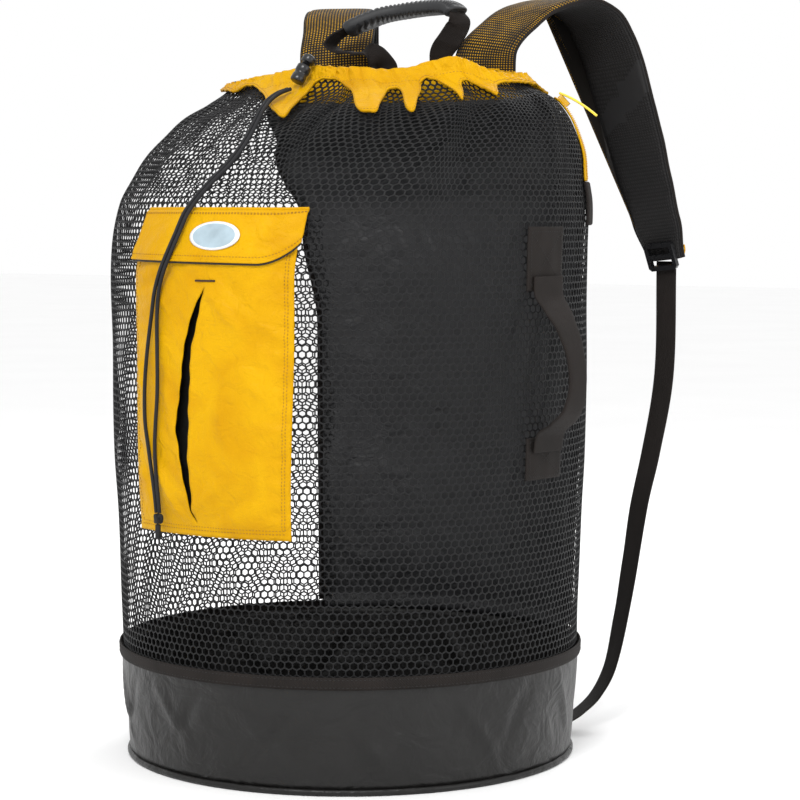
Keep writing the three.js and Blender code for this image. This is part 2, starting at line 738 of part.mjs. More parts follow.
// Gathers stand proud of the body, are deepest under the rim and run out towards the hem's dips.
function gather(turn, up) {
  const swell = 0.55 + 0.45 * sin(3 * turn + 0.6);
  return GATHER_DEPTH * swell * (0.25 + 0.75 * up) * (0.5 + 0.5 * cos(GATHERS * turn + 2 * sin(2 * turn)));
}

const collarSide = (lift) => (u, v) => {
  const turn = 2 * PI * u;
  const height = lerp(hemHeight(turn), rimHeight(turn), v);
  return bagPoint(turn, height, lift + gather(turn, v));
};
add(
  "collar",
  wall(collarSide(COLLAR_LIFT + COLLAR_WALL), collarSide(COLLAR_LIFT), evenly(COLLAR_STEPS), evenly(3), true),
  YELLOW_NYLON,
);

// Front pocket, its flap and the plain patch on it

const pocketHalfTurn = turnOf(POCKET_WIDTH / 2);
const pocketTurn = (u, v, inset = 0) =>
  lerp(
    pocketHalfTurn * waveAt(POCKET_EDGES, "height", "left", v) + turnOf(inset),
    pocketHalfTurn * waveAt(POCKET_EDGES, "height", "right", v) - turnOf(inset),
    u,
  );
const pocketHeight = (v, inset = 0) => lerp(POCKET_BOTTOM + inset, POCKET_BOTTOM + POCKET_HEIGHT - inset, v);

// The pouch's front stands out in a soft pillow between its sewn edges.
function pocketFront(u, v) {
  const across = 2 * u - 1;
  const up = 2 * v - 1;
  const pillow = (1 - across ** 4) * (1 - up ** 6);
  const slack = 1 + 0.12 * sin(5 * up + 2 * across) * across;
  return SEAM_LIFT + POCKET_EDGE + (POCKET_DEPTH - POCKET_EDGE) * pillow * slack;
}

const pocketBody = facePatch(
  (u, v) => pocketTurn(u, v),
  (u, v) => pocketHeight(v),
  () => SEAM_LIFT,
  pocketFront,
  evenly(8),
  evenly(10),
);
const pocketHollow = facePatch(
  (u, v) => pocketTurn(u, v, POCKET_SEAM),
  (u, v) => pocketHeight(v, POCKET_SEAM),
  () => SEAM_LIFT + POCKET_WALL,
  (u, v) => max(pocketFront(lerp(0.05, 0.95, u), lerp(0.03, 0.97, v)) - POCKET_WALL, SEAM_LIFT + POCKET_WALL + 1),
  evenly(6),
  evenly(7),
);

const slitTop = POCKET_BOTTOM + POCKET_HEIGHT - FLAP_HEIGHT - 14;
const slitTurn = (u, v) => {
  const half = turnOf(SLIT_WIDTH / 2) * waveAt(SLIT_ROWS, "length", "width", 1 - v);
  return pocketHalfTurn * waveAt(SLIT_ROWS, "length", "across", 1 - v) + (2 * u - 1) * half;
};
const slitCut = facePatch(
  slitTurn,
  (u, v) => slitTop - SLIT_LENGTH * (1 - v),
  () => SEAM_LIFT + POCKET_WALL + 0.5,
  () => SEAM_LIFT + 2 * POCKET_DEPTH,
  evenly(1),
  evenly(10),
);
add(
  "front_pocket",
  geometryFrom(manifoldOf(pocketBody).subtract(manifoldOf(pocketHollow)).subtract(manifoldOf(slitCut))),
  YELLOW_NYLON,
);

const flapTop = POCKET_BOTTOM + POCKET_HEIGHT + POCKET_EDGE + 2;
const flapFoot = flapTop - FLAP_HEIGHT;
const flapHeight = (u, v) => {
  const corner = max(u - 0.8, 0) / 0.2;
  return lerp(flapFoot + 20 * corner ** 2 + 3 * (1 - u), flapTop, v);
};
const flapTurn = (u, v) => {
  const share = (flapHeight(u, v) - POCKET_BOTTOM) / POCKET_HEIGHT;
  return lerp(
    pocketHalfTurn * waveAt(POCKET_EDGES, "height", "left", min(share, 1)) - turnOf(FLAP_SIDE),
    pocketHalfTurn * waveAt(POCKET_EDGES, "height", "right", min(share, 1)) + turnOf(FLAP_SIDE),
    u,
  );
};
const flapLift = (u, v) => {
  const share = (flapHeight(u, v) - POCKET_BOTTOM) / POCKET_HEIGHT;
  const over = max(0, min(1, (flapTop - flapHeight(u, v)) / (POCKET_EDGE + 4)));
  const onPocket = pocketFront(min(max(u, 0.04), 0.96), min(share, 0.985)) + SEAM_LIFT;
  return lerp(SEAM_LIFT, onPocket, min(over * 1.6, 1));
};
const flapUp = [0, 0.2, 0.4, 0.6, 0.78, 0.86, 0.93, 1];
add(
  "pocket_flap",
  facePatch(flapTurn, flapHeight, flapLift, (u, v) => flapLift(u, v) + FLAP_WALL, evenly(8), flapUp),
  YELLOW_NYLON,
);

// An oval patch that follows the flap's curve.
const badgeTurn = deg(5);
const badgeHeight = flapTop - 0.52 * FLAP_HEIGHT;
function badgeGeometry() {
  const steps = 20;
  const rings = [0, 0.55, 1];
  const at = (ring, step, lift) => {
    const angle = (2 * PI * step) / steps;
    const turn = badgeTurn + (turnOf(BADGE_WIDTH / 2) * ring * cos(angle));
    const height = badgeHeight + (BADGE_HEIGHT / 2) * ring * sin(angle);
    const u = (turn + pocketHalfTurn) / (2 * pocketHalfTurn);
    const share = (height - POCKET_BOTTOM) / POCKET_HEIGHT;
    return bagPoint(turn, height, pocketFront(u, min(share, 0.985)) + SEAM_LIFT + FLAP_WALL + lift);
  };
  const points = [];
  const quads = [];
  const back = 1 + 2 * steps;
  for (const lift of [SEAM_LIFT + BADGE_THICKNESS, SEAM_LIFT]) {
    points.push(at(0, 0, lift));
    for (const ring of rings.slice(1)) {
      for (let s = 0; s < steps; s += 1) points.push(at(ring, s, lift));
    }
  }
  for (let s = 0; s < steps; s += 1) {
    const t = (s + 1) % steps;
    const near = [1 + s, 1 + t];
    const far = [1 + steps + s, 1 + steps + t];
    quads.push([0, near[0], near[1]]);
    quads.push([near[0], far[0], far[1], near[1]]);
    quads.push([back, back + near[1], back + near[0]]);
    quads.push([back + near[0], back + near[1], back + far[1], back + far[0]]);
    quads.push([far[0], back + far[0], back + far[1], far[1]]);
  }
  return geometryOf(points, quads);
}
add("pocket_badge", badgeGeometry(), BADGE_GREY);

// Grab handle on the bag's right side

function sidePatch(name, turn, top, height, width, lift, thickness, material, steps = 2) {
  const half = turnOf(width / 2);
  const patch = facePatch(
    (u) => turn + (2 * u - 1) * half,
    (u, v) => lerp(top - height, top, v),
    () => lift,
    () => lift + thickness,
    evenly(2),
    evenly(steps),
  );
  add(name, patch, material);
}
sidePatch(
  "side_handle_anchor_upper",
  SIDE_TURN,
  UPPER_ANCHOR_TOP,
  UPPER_ANCHOR_HEIGHT,
  ANCHOR_WIDTH,
  SEAM_LIFT,
  ANCHOR_THICKNESS,
  WEBBING,
);
sidePatch(
  "side_handle_anchor_lower",
  SIDE_TURN,
  LOWER_ANCHOR_TOP,
  LOWER_ANCHOR_HEIGHT,
  ANCHOR_WIDTH,
  SEAM_LIFT,
  ANCHOR_THICKNESS,
  WEBBING,
);

const handleSeat = SEAM_LIFT + ANCHOR_THICKNESS + SEAM_GAP + SIDE_HANDLE_THICKNESS / 2;
const handleTop = UPPER_ANCHOR_TOP - UPPER_ANCHOR_HEIGHT;
const handleCurve = curveThrough(
  SIDE_HANDLE_BOW.map((row) =>
    bagPoint(
      SIDE_TURN,
      lerp(handleTop, LOWER_ANCHOR_TOP, row.drop),
      handleSeat + row.lift * (SIDE_HANDLE_REACH - handleSeat),
    ),
  ),
);
const bowWidths = SIDE_HANDLE_BOW.map((row, i) => ({ way: i / (SIDE_HANDLE_BOW.length - 1), width: row.width }));
const sideways = new THREE.Vector3(-cos(SIDE_TURN), -sin(SIDE_TURN), 0);
add(
  "side_handle",
  band(
    handleCurve,
    () => sideways,
    (v) => (SIDE_HANDLE_WIDTH / 2) * waveAt(bowWidths, "way", "width", v),
    SIDE_HANDLE_THICKNESS,
    24,
  ),
  WEBBING,
);

// Shoulder zip: its tape, the block that covers its lower end, its slider and its pull tab

sidePatch(
  "zip_tape",
  ZIP_TURN,
  ZIP_TOP,
  ZIP_LENGTH,
  ZIP_WIDTH,
  SEAM_LIFT,
  ZIP_THICKNESS,
  YELLOW_NYLON,
  8,
);
sidePatch(
  "zip_garage",
  ZIP_TURN,
  ZIP_BOTTOM - SEAM_GAP,
  GARAGE_HEIGHT,
  GARAGE_WIDTH,
  SEAM_LIFT,
  GARAGE_THICKNESS,
  WEBBING,
);
const sliderLift = SEAM_LIFT + ZIP_THICKNESS + SEAM_GAP;
const sliderTop = ZIP_TOP - 2;
sidePatch(
  "zip_slider",
  ZIP_TURN,
  sliderTop,
  SLIDER_LENGTH / 2,
  SLIDER_WIDTH,
  sliderLift,
  SLIDER_THICKNESS,
  YELLOW_NYLON,
);
const pullLift = sliderLift + SLIDER_THICKNESS + SEAM_GAP + PULL_THICKNESS / 2;
const pullStart = bagPoint(ZIP_TURN, sliderTop - SLIDER_LENGTH / 4, pullLift);
const outwards = new THREE.Vector3(sin(ZIP_TURN), -cos(ZIP_TURN), 0);
const pullCurve = curveThrough(
  evenly(4).map((t) =>
    pullStart
      .clone()
      .addScaledVector(outwards, 0.82 * PULL_LENGTH * t)
      .add(new THREE.Vector3(0, 0, -0.5 * PULL_LENGTH * t * (0.6 + 0.4 * t))),
  ),
);
add(
  "zip_pull",
  band(
    pullCurve,
    () => new THREE.Vector3(cos(ZIP_TURN), sin(ZIP_TURN), 0),
    () => PULL_WIDTH / 2,
    PULL_THICKNESS,
    6,
  ),
  YELLOW_NYLON,
);

// Carry handle behind the mouth: a web loop through a ribbed rubber grip

const collarFace = COLLAR_LIFT + COLLAR_WALL + GATHER_DEPTH + SEAM_GAP;
const handleRoot = (side) => {
  const middle = bodySize("right", STRAP_ROOT);
  const turn = PI - asin((side * HANDLE_SPAN / 2 - middle) / bodySize("halfWidth", STRAP_ROOT));
  return bagPoint(turn, STRAP_ROOT, collarFace + 2 * SEAM_LIFT + HANDLE_THICKNESS / 2);
};
const leftRoot = handleRoot(-1);
const rightRoot = handleRoot(1);
const loopCurve = curveThrough(
  HANDLE_LOOP.map(
    (row) =>
      new THREE.Vector3(
        row.right * HANDLE_SPAN,
        lerp(leftRoot.y, rightRoot.y, row.right + 0.5) - row.front * HANDLE_SWAY,
        STRAP_ROOT + row.rise * HANDLE_RISE,
      ),
  ),
);
const loopTwists = HANDLE_LOOP.map((row, i) => ({ way: i / (HANDLE_LOOP.length - 1), twist: row.twist }));
const loopWide = (v) => {
  const twist = (PI / 2) * waveAt(loopTwists, "way", "twist", v);
  return new THREE.Vector3(cos(twist), sin(twist), 0);
};
add(
  "top_handle_web",
  band(loopCurve, loopWide, () => HANDLE_WIDTH / 2, HANDLE_THICKNESS, HANDLE_STEPS),
  WEBBING,
);

// The grip is a hollow sleeve round the web, clear of it by GRIP_WALL_GAP.
const sleeveSide = (halfWide, halfDeep, power) => (u, v) => {
  const way = lerp(GRIP_FIRST_STEP, GRIP_LAST_STEP, v) / HANDLE_STEPS;
  const tangent = loopCurve.getTangent(way);
  const wide = loopWide(way);
  wide.addScaledVector(tangent, -wide.dot(tangent)).normalize();
  const normal = wide.clone().cross(tangent).normalize();
  const angle = 2 * PI * u;
  const round = (value) => sign(value) * abs(value) ** power;
  return loopCurve
    .getPoint(way)
    .addScaledVector(wide, -halfWide * round(cos(angle)))
    .addScaledVector(normal, halfDeep * round(sin(angle)));
};
add(
  "top_handle_grip",
  wall(
    sleeveSide(GRIP_WIDTH / 2, GRIP_DEPTH / 2, 0.7),
    sleeveSide(HANDLE_WIDTH / 2 + GRIP_WALL_GAP, HANDLE_THICKNESS / 2 + GRIP_WALL_GAP, 0.25),
    evenly(10),
    evenly(GRIP_LAST_STEP - GRIP_FIRST_STEP),
    true,
  ),
  RUBBER,
);

// Shoulder straps with their ladder locks and adjuster webs

function ladderLock() {
  const outline = new THREE.Shape();
  const halfWide = LOCK_WIDTH / 2;
  const halfLong = LOCK_LENGTH / 2;
  const corner = 3;
  outline.moveTo(-halfWide + corner, -halfLong);
  outline.lineTo(halfWide - corner, -halfLong);
  outline.lineTo(halfWide, -halfLong + corner);
  outline.lineTo(halfWide, halfLong - corner);
  outline.lineTo(halfWide - corner, halfLong);
  outline.lineTo(-halfWide + corner, halfLong);
  outline.lineTo(-halfWide, halfLong - corner);
  outline.lineTo(-halfWide, -halfLong + corner);
  outline.closePath();
  const slotHalf = WEB_WIDTH / 2 + 1;
  const slotLong = (LOCK_LENGTH - 3 * LOCK_BAR) / 2;
  for (const centre of [-(slotLong + LOCK_BAR) / 2, (slotLong + LOCK_BAR) / 2]) {
    const slot = new THREE.Path();
    slot.moveTo(-slotHalf, centre - slotLong / 2);
    slot.lineTo(-slotHalf, centre + slotLong / 2);
    slot.lineTo(slotHalf, centre + slotLong / 2);
    slot.lineTo(slotHalf, centre - slotLong / 2);
    slot.closePath();
    outline.holes.push(slot);
  }
  const geometry = new THREE.ExtrudeGeometry(outline, { depth: LOCK_THICKNESS, bevelEnabled: false });
  geometry.translate(0, 0, -LOCK_THICKNESS / 2);
  return geometry;
}

for (const strap of STRAPS) {
  const rootFace = bagPoint(strap.rootTurn, STRAP_ROOT, collarFace);
  const rootBack = strap.rootClear + STRAP_THICKNESS / 2;
  const root = rootFace.clone().add(new THREE.Vector3(0, rootBack, 0));
  const points = STRAP_BOW.map(
    (row) =>
      new THREE.Vector3(
        root.x + strap.out * strap.spread * row.out,
        root.y + STRAP_REACH * row.back,
        STRAP_ROOT + STRAP_RISE * row.up - STRAP_DROP * row.down,
      ),
  );
  const curve = curveThrough(points);
  const wide = new THREE.Vector3(cos(strap.twist), -strap.out * sin(strap.twist), 0);
  const widths = STRAP_BOW.map((row, i) => ({ way: i / (STRAP_BOW.length - 1), width: row.width }));
  add(
    "shoulder_strap_" + strap.side,
    band(
      curve,
      () => wide,
      (v) => (STRAP_WIDTH / 2) * waveAt(widths, "way", "width", v),
      STRAP_THICKNESS,
      24,
      0.6,
      2,
    ),
    PAD_BLACK,
  );

  // The buckle lies on the outer face of the strap's lower end.
  const end = curve.getPoint(1);
  const along = curve.getTangent(1);
  const across = wide.clone().addScaledVector(along, -wide.dot(along)).normalize();
  const outer = across.clone().cross(along).normalize().negate();
  const buckle = new THREE.Matrix4().makeBasis(across, along.clone().negate(), across.clone().cross(along.clone().negate()));
  const buckleOut = STRAP_THICKNESS / 2 + SEAM_GAP + LOCK_THICKNESS / 2;
  const buckleCentre = end
    .clone()
    .addScaledVector(outer, buckleOut)
    .addScaledVector(along, 2 - LOCK_LENGTH / 4);
  buckle.setPosition(buckleCentre);
  const lock = add("ladder_lock_" + strap.side, ladderLock(), HARD_BLACK);
  lock.applyMatrix4(buckle);

  // The web leaves the buckle's inner face and falls to the tub's lower edge.
  const webStart = end
    .clone()
    .addScaledVector(along, SEAM_GAP + WEB_THICKNESS)
    .addScaledVector(outer, WEB_THICKNESS / 2);
  const endTurn = strap.out * WEB_END_TURN;
  const webEnd = bagPoint(endTurn, WEB_END, SEAM_LIFT + 2 * WEB_THICKNESS);
  const webCurve = curveThrough(
    WEB_FALL.map(
      (row) =>
        new THREE.Vector3(
          lerp(webStart.x, webEnd.x, row.along),
          lerp(webStart.y, webEnd.y, row.along),
          lerp(webStart.z, webEnd.z, row.down),
        ),
    ),
  );
  const wallTangent = new THREE.Vector3(-cos(endTurn), -sin(endTurn), 0);
  const webTurns = WEB_FALL.map((row, i) => ({ way: i / (WEB_FALL.length - 1), turn: row.turn }));
  add(
    "adjuster_web_" + strap.side,
    band(
      webCurve,
      (v) => wide.clone().lerp(wallTangent, waveAt(webTurns, "way", "turn", v)),
      () => WEB_WIDTH / 2,
      WEB_THICKNESS,
      22,
    ),
    WEBBING,
  );
}

// Cord lock: a barrel with a spring button, leaning along the collar

const lockAxis = new THREE.Vector3(
  sin(LOCK_LEAN_SIDE) * cos(deg(35)),
  sin(LOCK_LEAN_SIDE) * sin(deg(35)) + sin(LOCK_LEAN_BACK),
  cos(LOCK_LEAN_SIDE),
).normalize();
const lockCentre = bagPoint(LOCK_TURN, LOCK_HEIGHT, LOCK_LIFT);
const lockFrame = new THREE.Group();
lockFrame.position.copy(lockCentre);
lockFrame.quaternion.setFromUnitVectors(new THREE.Vector3(0, 0, 1), lockAxis);
bag.add(lockFrame);

const boreRadius = STEM_RADIUS + STEM_GAP;
const barrelFoot = -BARREL_LENGTH / 2;
const barrelHead = BARREL_LENGTH / 2;
const barrel = new THREE.Mesh(
  turned(
    [
      [0, barrelFoot],
      [BARREL_RADIUS - 1.5, barrelFoot],
      [BARREL_RADIUS, barrelFoot + 1.5],
      [BARREL_RADIUS, barrelHead - 1],
      [BARREL_RADIUS - 1, barrelHead],
      [boreRadius, barrelHead],
      [boreRadius, barrelFoot + BARREL_FLOOR],
      [0, barrelFoot + BARREL_FLOOR],
    ],
    16,
  ),
  HARD_BLACK,
);
barrel.name = "cord_lock";
lockFrame.add(barrel);

const buttonFoot = barrelHead + BUTTON_REST_GAP;
const button = new THREE.Mesh(
  turned(
    [
      [0, buttonFoot - STEM_LENGTH],
      [STEM_RADIUS, buttonFoot - STEM_LENGTH],
      [STEM_RADIUS, buttonFoot],
      [BUTTON_RADIUS, buttonFoot],
      [BUTTON_RADIUS, buttonFoot + BUTTON_LENGTH - 2],
      [BUTTON_RADIUS - 2, buttonFoot + BUTTON_LENGTH],
      [0, buttonFoot + BUTTON_LENGTH],
    ],
    16,
  ),
  HARD_BLACK,
);
button.name = "cord_lock_plunger";
lockFrame.add(button);

// Drawcord: two strands, the knot that joins them and its short end

function strand(route) {
  const circle = new THREE.Shape();
  circle.absarc(0, 0, CORD_DIAMETER / 2, 0, 2 * PI);
  const curve = new THREE.CatmullRomCurve3(route.map((p) => new THREE.Vector3(...p)));
  return new THREE.ExtrudeGeometry(circle, { steps: 26, extrudePath: curve, curveSegments: 4, bevelEnabled: false });
}
add("drawcord_left", strand(DRAWCORD_LEFT), CORD_BLACK);
add("drawcord_right", strand(DRAWCORD_RIGHT), CORD_BLACK);

const leftEnd = new THREE.Vector3(...DRAWCORD_LEFT[DRAWCORD_LEFT.length - 1]);
const rightEnd = new THREE.Vector3(...DRAWCORD_RIGHT[DRAWCORD_RIGHT.length - 1]);
const knotTop = leftEnd.clone().lerp(rightEnd, 0.5).add(new THREE.Vector3(0, 0, -SEAM_GAP));
const knot = add(
  "drawcord_knot",
  turned(
    [
      [0, -KNOT_LENGTH],
      [KNOT_RADIUS * 0.6, -KNOT_LENGTH],
      [KNOT_RADIUS, -KNOT_LENGTH * 0.65],
      [KNOT_RADIUS, -KNOT_LENGTH * 0.35],
      [KNOT_RADIUS * 0.75, 0],
      [0, 0],
    ],
    12,
  ),
  CORD_BLACK,
);
knot.position.copy(knotTop);
const tail = add(
  "drawcord_tail",
  turned([[0, -TAIL_LENGTH], [TAIL_RADIUS, -TAIL_LENGTH], [TAIL_RADIUS, 0], [0, 0]], 8),
  CORD_BLACK,
);
tail.position.copy(knotTop).add(new THREE.Vector3(0, 0, -KNOT_LENGTH - SEAM_GAP));

export default bag;
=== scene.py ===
"""The looks of a mesh dive gear bag: coated tub, knitted net, gathered mouth, pocket, straps and handles.

Metres, +Z up, the front pocket faces -Y. A turn is an angle about the bag's axis, from the front
towards the bag's right side, +X.
"""

import logging
import math
from dataclasses import dataclass
from enum import Enum
from typing import Callable, Sequence

import bmesh
import bpy
import numpy as np
from mathutils import Matrix, Vector

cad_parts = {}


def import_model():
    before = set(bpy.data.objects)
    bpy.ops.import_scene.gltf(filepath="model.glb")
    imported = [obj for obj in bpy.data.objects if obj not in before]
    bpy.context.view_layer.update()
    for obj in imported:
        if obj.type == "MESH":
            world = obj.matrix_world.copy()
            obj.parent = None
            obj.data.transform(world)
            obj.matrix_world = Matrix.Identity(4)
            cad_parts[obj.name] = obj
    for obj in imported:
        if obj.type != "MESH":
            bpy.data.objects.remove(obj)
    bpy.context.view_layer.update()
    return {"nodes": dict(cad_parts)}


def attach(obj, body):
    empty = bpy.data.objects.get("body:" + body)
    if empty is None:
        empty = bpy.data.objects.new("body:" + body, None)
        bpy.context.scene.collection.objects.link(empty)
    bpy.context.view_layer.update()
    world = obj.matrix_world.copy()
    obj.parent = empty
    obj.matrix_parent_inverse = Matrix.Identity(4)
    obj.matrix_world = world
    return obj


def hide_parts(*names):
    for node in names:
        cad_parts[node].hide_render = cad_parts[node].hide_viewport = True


LOG = logging.getLogger("bag")
MM = 0.001
Array = np.ndarray
Place = Callable[[Array, Array], Array]
Color = tuple[float, float, float]


class Weave(Enum):
    """How a cloth's threads lie."""

    PLAIN = "plain"
    RIBBED = "ribbed"
    SPACER = "spacer"
    BRAIDED = "braided"
    KNITTED = "knitted"


class Side(Enum):
    """The bag's own left or right."""

    LEFT = -1
    RIGHT = 1

    @property
    def word(self) -> str:
        """The side's name as node names write it."""
        return self.name.lower()


def smooth_at(places: Sequence[float], values: Sequence[float], at: Array) -> Array:
    """Reads a smooth curve through a table's rows.

    Args:
        places: the rows' places, rising.
        values: the rows' values.
        at: where to read.

    Returns:
        The values there.
    """
    x = np.asarray(places, float)
    y = np.asarray(values, float)
    at = np.clip(at, x[0], x[-1])
    slope = np.empty_like(y)
    slope[1:-1] = (y[2:] - y[:-2]) / (x[2:] - x[:-2])
    slope[0] = (y[1] - y[0]) / (x[1] - x[0])
    slope[-1] = (y[-1] - y[-2]) / (x[-1] - x[-2])
    i = np.clip(np.searchsorted(x, at, side="left") - 1, 0, len(x) - 2)
    span = x[i + 1] - x[i]
    t = (at - x[i]) / span
    rise = (2 * t**3 - 3 * t**2 + 1) * y[i] + (3 * t**2 - 2 * t**3) * y[i + 1]
    return rise + (t**3 - 2 * t**2 + t) * slope[i] * span + (t**3 - t**2) * slope[i + 1] * span


def wave_at(places: Sequence[float], values: Sequence[float], at: Array) -> Array:
    """Reads a cosine wave between a table's rows, which never leaves their values.

    Args:
        places: the rows' places, rising.
        values: the rows' values.
        at: where to read.

    Returns:
        The values there.
    """
    x = np.asarray(places, float)
    y = np.asarray(values, float)
    at = np.clip(at, x[0], x[-1])
    i = np.clip(np.searchsorted(x, at, side="left") - 1, 0, len(x) - 2)
    t = (1 - np.cos(np.pi * (at - x[i]) / (x[i + 1] - x[i]))) / 2
    return y[i] + (y[i + 1] - y[i]) * t


def mix(a: Array | float, b: Array | float, t: Array | float) -> Array | float:
    """The value between a and b at share t."""
    return a + (b - a) * t


def unit(v: Array) -> Array:
    """The vectors at length one."""
    return v / np.linalg.norm(v, axis=-1, keepdims=True)


def path_through(points: Sequence[Sequence[float]], count: int) -> Array:
    """A smooth centripetal path through points.

    Args:
        points: the points, in metres.
        count: how many points the path gets, evenly by segment.

    Returns:
        The path's points.
    """
    p = np.asarray(points, float)
    p = np.vstack([2 * p[0] - p[1], p, 2 * p[-1] - p[-2]])
    spans = len(points) - 1
    t = np.linspace(0, spans, count)
    i = np.minimum(t.astype(int), spans - 1)
    w = (t - i)[:, None]
    a, b, c, d = p[i], p[i + 1], p[i + 2], p[i + 3]
    ab, bc, cd = (np.sqrt(np.linalg.norm(q - r, axis=1))[:, None] for q, r in ((b, a), (c, b), (d, c)))
    m1 = ((b - a) / ab - (c - a) / (ab + bc) + (c - b) / bc) * bc
    m2 = ((c - b) / bc - (d - b) / (bc + cd) + (d - c) / cd) * bc
    return (
        (2 * w**3 - 3 * w**2 + 1) * b
        + (w**3 - 2 * w**2 + w) * m1
        + (3 * w**2 - 2 * w**3) * c
        + (w**3 - w**2) * m2
    )


def path_length(path: Array) -> float:
    """A path's length in metres."""
    return float(np.linalg.norm(np.diff(path, axis=0), axis=1).sum())


def ripple(turn: Array, height: Array, seed: int, sizes: Sequence[float]) -> Array:
    """Soft uneven swells from a few crossed waves, between about -1 and 1.

    Args:
        turn: places round, in metres.
        height: places up, in metres.
        seed: picks the waves.
        sizes: the waves' lengths in metres.

    Returns:
        The swell there.
    """
    rng = np.random.default_rng(seed)
    out = np.zeros(np.broadcast(turn, height).shape)
    for size in sizes:
        angle, phase = rng.uniform(0, np.pi), rng.uniform(0, 2 * np.pi)
        out = out + np.sin(2 * np.pi / size * (turn * np.cos(angle) + height * np.sin(angle)) + phase)
    return out / len(sizes)


def ridge(here: Array, start: Sequence[float], end: Sequence[float], spread: float, ends: float) -> Array:
    """A soft ridge along a line on a cloth, which fades towards its ends.

    Args:
        here: points on the cloth, in metres across and up.
        start: where the line starts.
        end: where it ends.
        spread: half its width.
        ends: how far into its swell it starts and stops, as a share.

    Returns:
        The ridge's height there, at most 1.
    """
    way = np.subtract(end, start)
    t = np.clip((here - start) @ way / (way @ way), 0, 1)
    gap = np.linalg.norm(here - start - t[..., None] * way, axis=-1)
    return np.exp(-((gap / spread) ** 2)) * np.sin(np.pi * (ends + (1 - 2 * ends) * t))


# Objects and meshes


def to_object(name: str, bm: bmesh.types.BMesh, smooth: bool = True) -> bpy.types.Object:
    """Makes an object from a bmesh and frees it.

    Args:
        name: the piece's name.
        bm: its mesh.
        smooth: whether its faces are shaded smooth.

    Returns:
        The new object, at the origin.
    """
    mesh = bpy.data.meshes.new(name)
    for face in bm.faces:
        face.smooth = smooth
    bm.to_mesh(mesh)
    bm.free()
    piece = bpy.data.objects.new(name, mesh)
    bpy.context.scene.collection.objects.link(piece)
    return piece


def map_grid(bm: bmesh.types.BMesh, place: Place) -> None:
    """Moves a unit grid's corners to where place puts them.

    Args:
        bm: the grid, from -0.5 to 0.5 in X and Y.
        place: gives the points for arrays of shares across and up.
    """
    verts = list(bm.verts)
    flat = np.array([v.co[:2] for v in verts]) + 0.5
    for vert, point in zip(verts, place(flat[:, 0], flat[:, 1])):
        vert.co = point


def grid(across: int, up: int, span: tuple[float, float]) -> bmesh.types.BMesh:
    """A unit grid whose own UV map is in metres.

    Args:
        across: faces across.
        up: faces up.
        span: the cloth's real width and height, for the UV map.

    Returns:
        The grid.
    """
    bm = bmesh.new()
    layer = bm.loops.layers.uv.verify()
    bmesh.ops.create_grid(bm, x_segments=across, y_segments=up, size=0.5, calc_uvs=False)
    for face in bm.faces:
        for loop in face.loops:
            loop[layer].uv = ((loop.vert.co.x + 0.5) * span[0], (loop.vert.co.y + 0.5) * span[1])
    return bm


def cloth(
    name: str,
    cells: tuple[int, int],
    span: tuple[float, float],
    place: Place,
    thickness: float,
    ring: bool = False,
) -> bpy.types.Object:
    """A cloth wall whose outer face is where place puts it.

    Args:
        name: the piece's name.
        cells: faces across and up.
        span: its real width and height in metres.
        place: its outer face, across to the right as seen from outside.
        thickness: the wall's thickness in metres.
        ring: whether it closes round across.

    Returns:
        The piece.
    """
    bm = grid(*cells, span)
    map_grid(bm, place)
    if ring:
        bmesh.ops.remove_doubles(bm, verts=bm.verts, dist=1e-6)
    piece = to_object(name, bm)
    wall = piece.modifiers.new("wall", "SOLIDIFY")
    wall.thickness = thickness
    wall.offset = -1
    wall.use_even_offset = False
    return piece


def sleeve(
    name: str,
    path: Array,
    wide: Array,
    half_width: Array,
    half_depth: Array,
    around: int = 24,
    power: float = 0.35,
    slots: Callable[[float, float], int] | None = None,
    swell: Callable[[Array, Array], Array] | None = None,
) -> bpy.types.Object:
    """A closed body along a path, with a rounded section.

    Args:
        name: the piece's name.
        path: its centre line.
        wide: the direction of its width at each point of the path.
        half_width: half its width at each point.
        half_depth: half its thickness at each point.
        around: faces round its section.
        power: 1 is an ellipse, and less is squarer.
        slots: the material index at shares round and along.
        swell: extra depth in metres at angles round and shares along.

    Returns:
        The piece, closed at both ends.
    """
    tangent = unit(np.gradient(path, axis=0))
    across = unit(wide - tangent * np.sum(wide * tangent, axis=1, keepdims=True))
    normal = unit(np.cross(across, tangent))
    last = len(path) - 1

    def place(u: Array, v: Array) -> Array:
        """The points at shares across and up."""
        i = np.rint(v * last).astype(int)
        angle = 2 * np.pi * u
        c, s = np.cos(angle), np.sin(angle)
        side = (np.sign(c) * np.abs(c) ** power)[:, None] * half_width[i][:, None]
        depth = (np.sign(s) * np.abs(s) ** max(power, 0.6)) * half_depth[i]
        if swell is not None:
            depth = depth + np.sign(s) * swell(angle, v)
        return path[i] - across[i] * side + normal[i] * depth[:, None]

    bm = grid(around, last, (1, path_length(path)))
    angle = np.linspace(0, 2 * np.pi, 721)
    c, s = np.cos(angle), np.sin(angle)
    side = np.sign(c) * np.abs(c) ** power * np.max(half_width)
    ring = np.stack([side, np.sign(s) * np.abs(s) ** 0.6 * np.max(half_depth)])
    arc = np.concatenate([[0], np.cumsum(np.linalg.norm(np.diff(ring, axis=1), axis=0))])
    layer = bm.loops.layers.uv.verify()
    for face in bm.faces:
        for loop in face.loops:
            loop[layer].uv.x = float(np.interp(loop[layer].uv.x, angle / (2 * np.pi), arc))
    if slots is not None:
        for face in bm.faces:
            middle = face.calc_center_median()
            face.material_index = slots(middle.x + 0.5, middle.y + 0.5)
    map_grid(bm, place)
    bmesh.ops.remove_doubles(bm, verts=bm.verts, dist=1e-7)
    rims = [edge for edge in bm.edges if edge.is_boundary]
    bmesh.ops.holes_fill(bm, edges=rims, sides=0)
    bmesh.ops.recalc_face_normals(bm, faces=bm.faces)
    return to_object(name, bm)


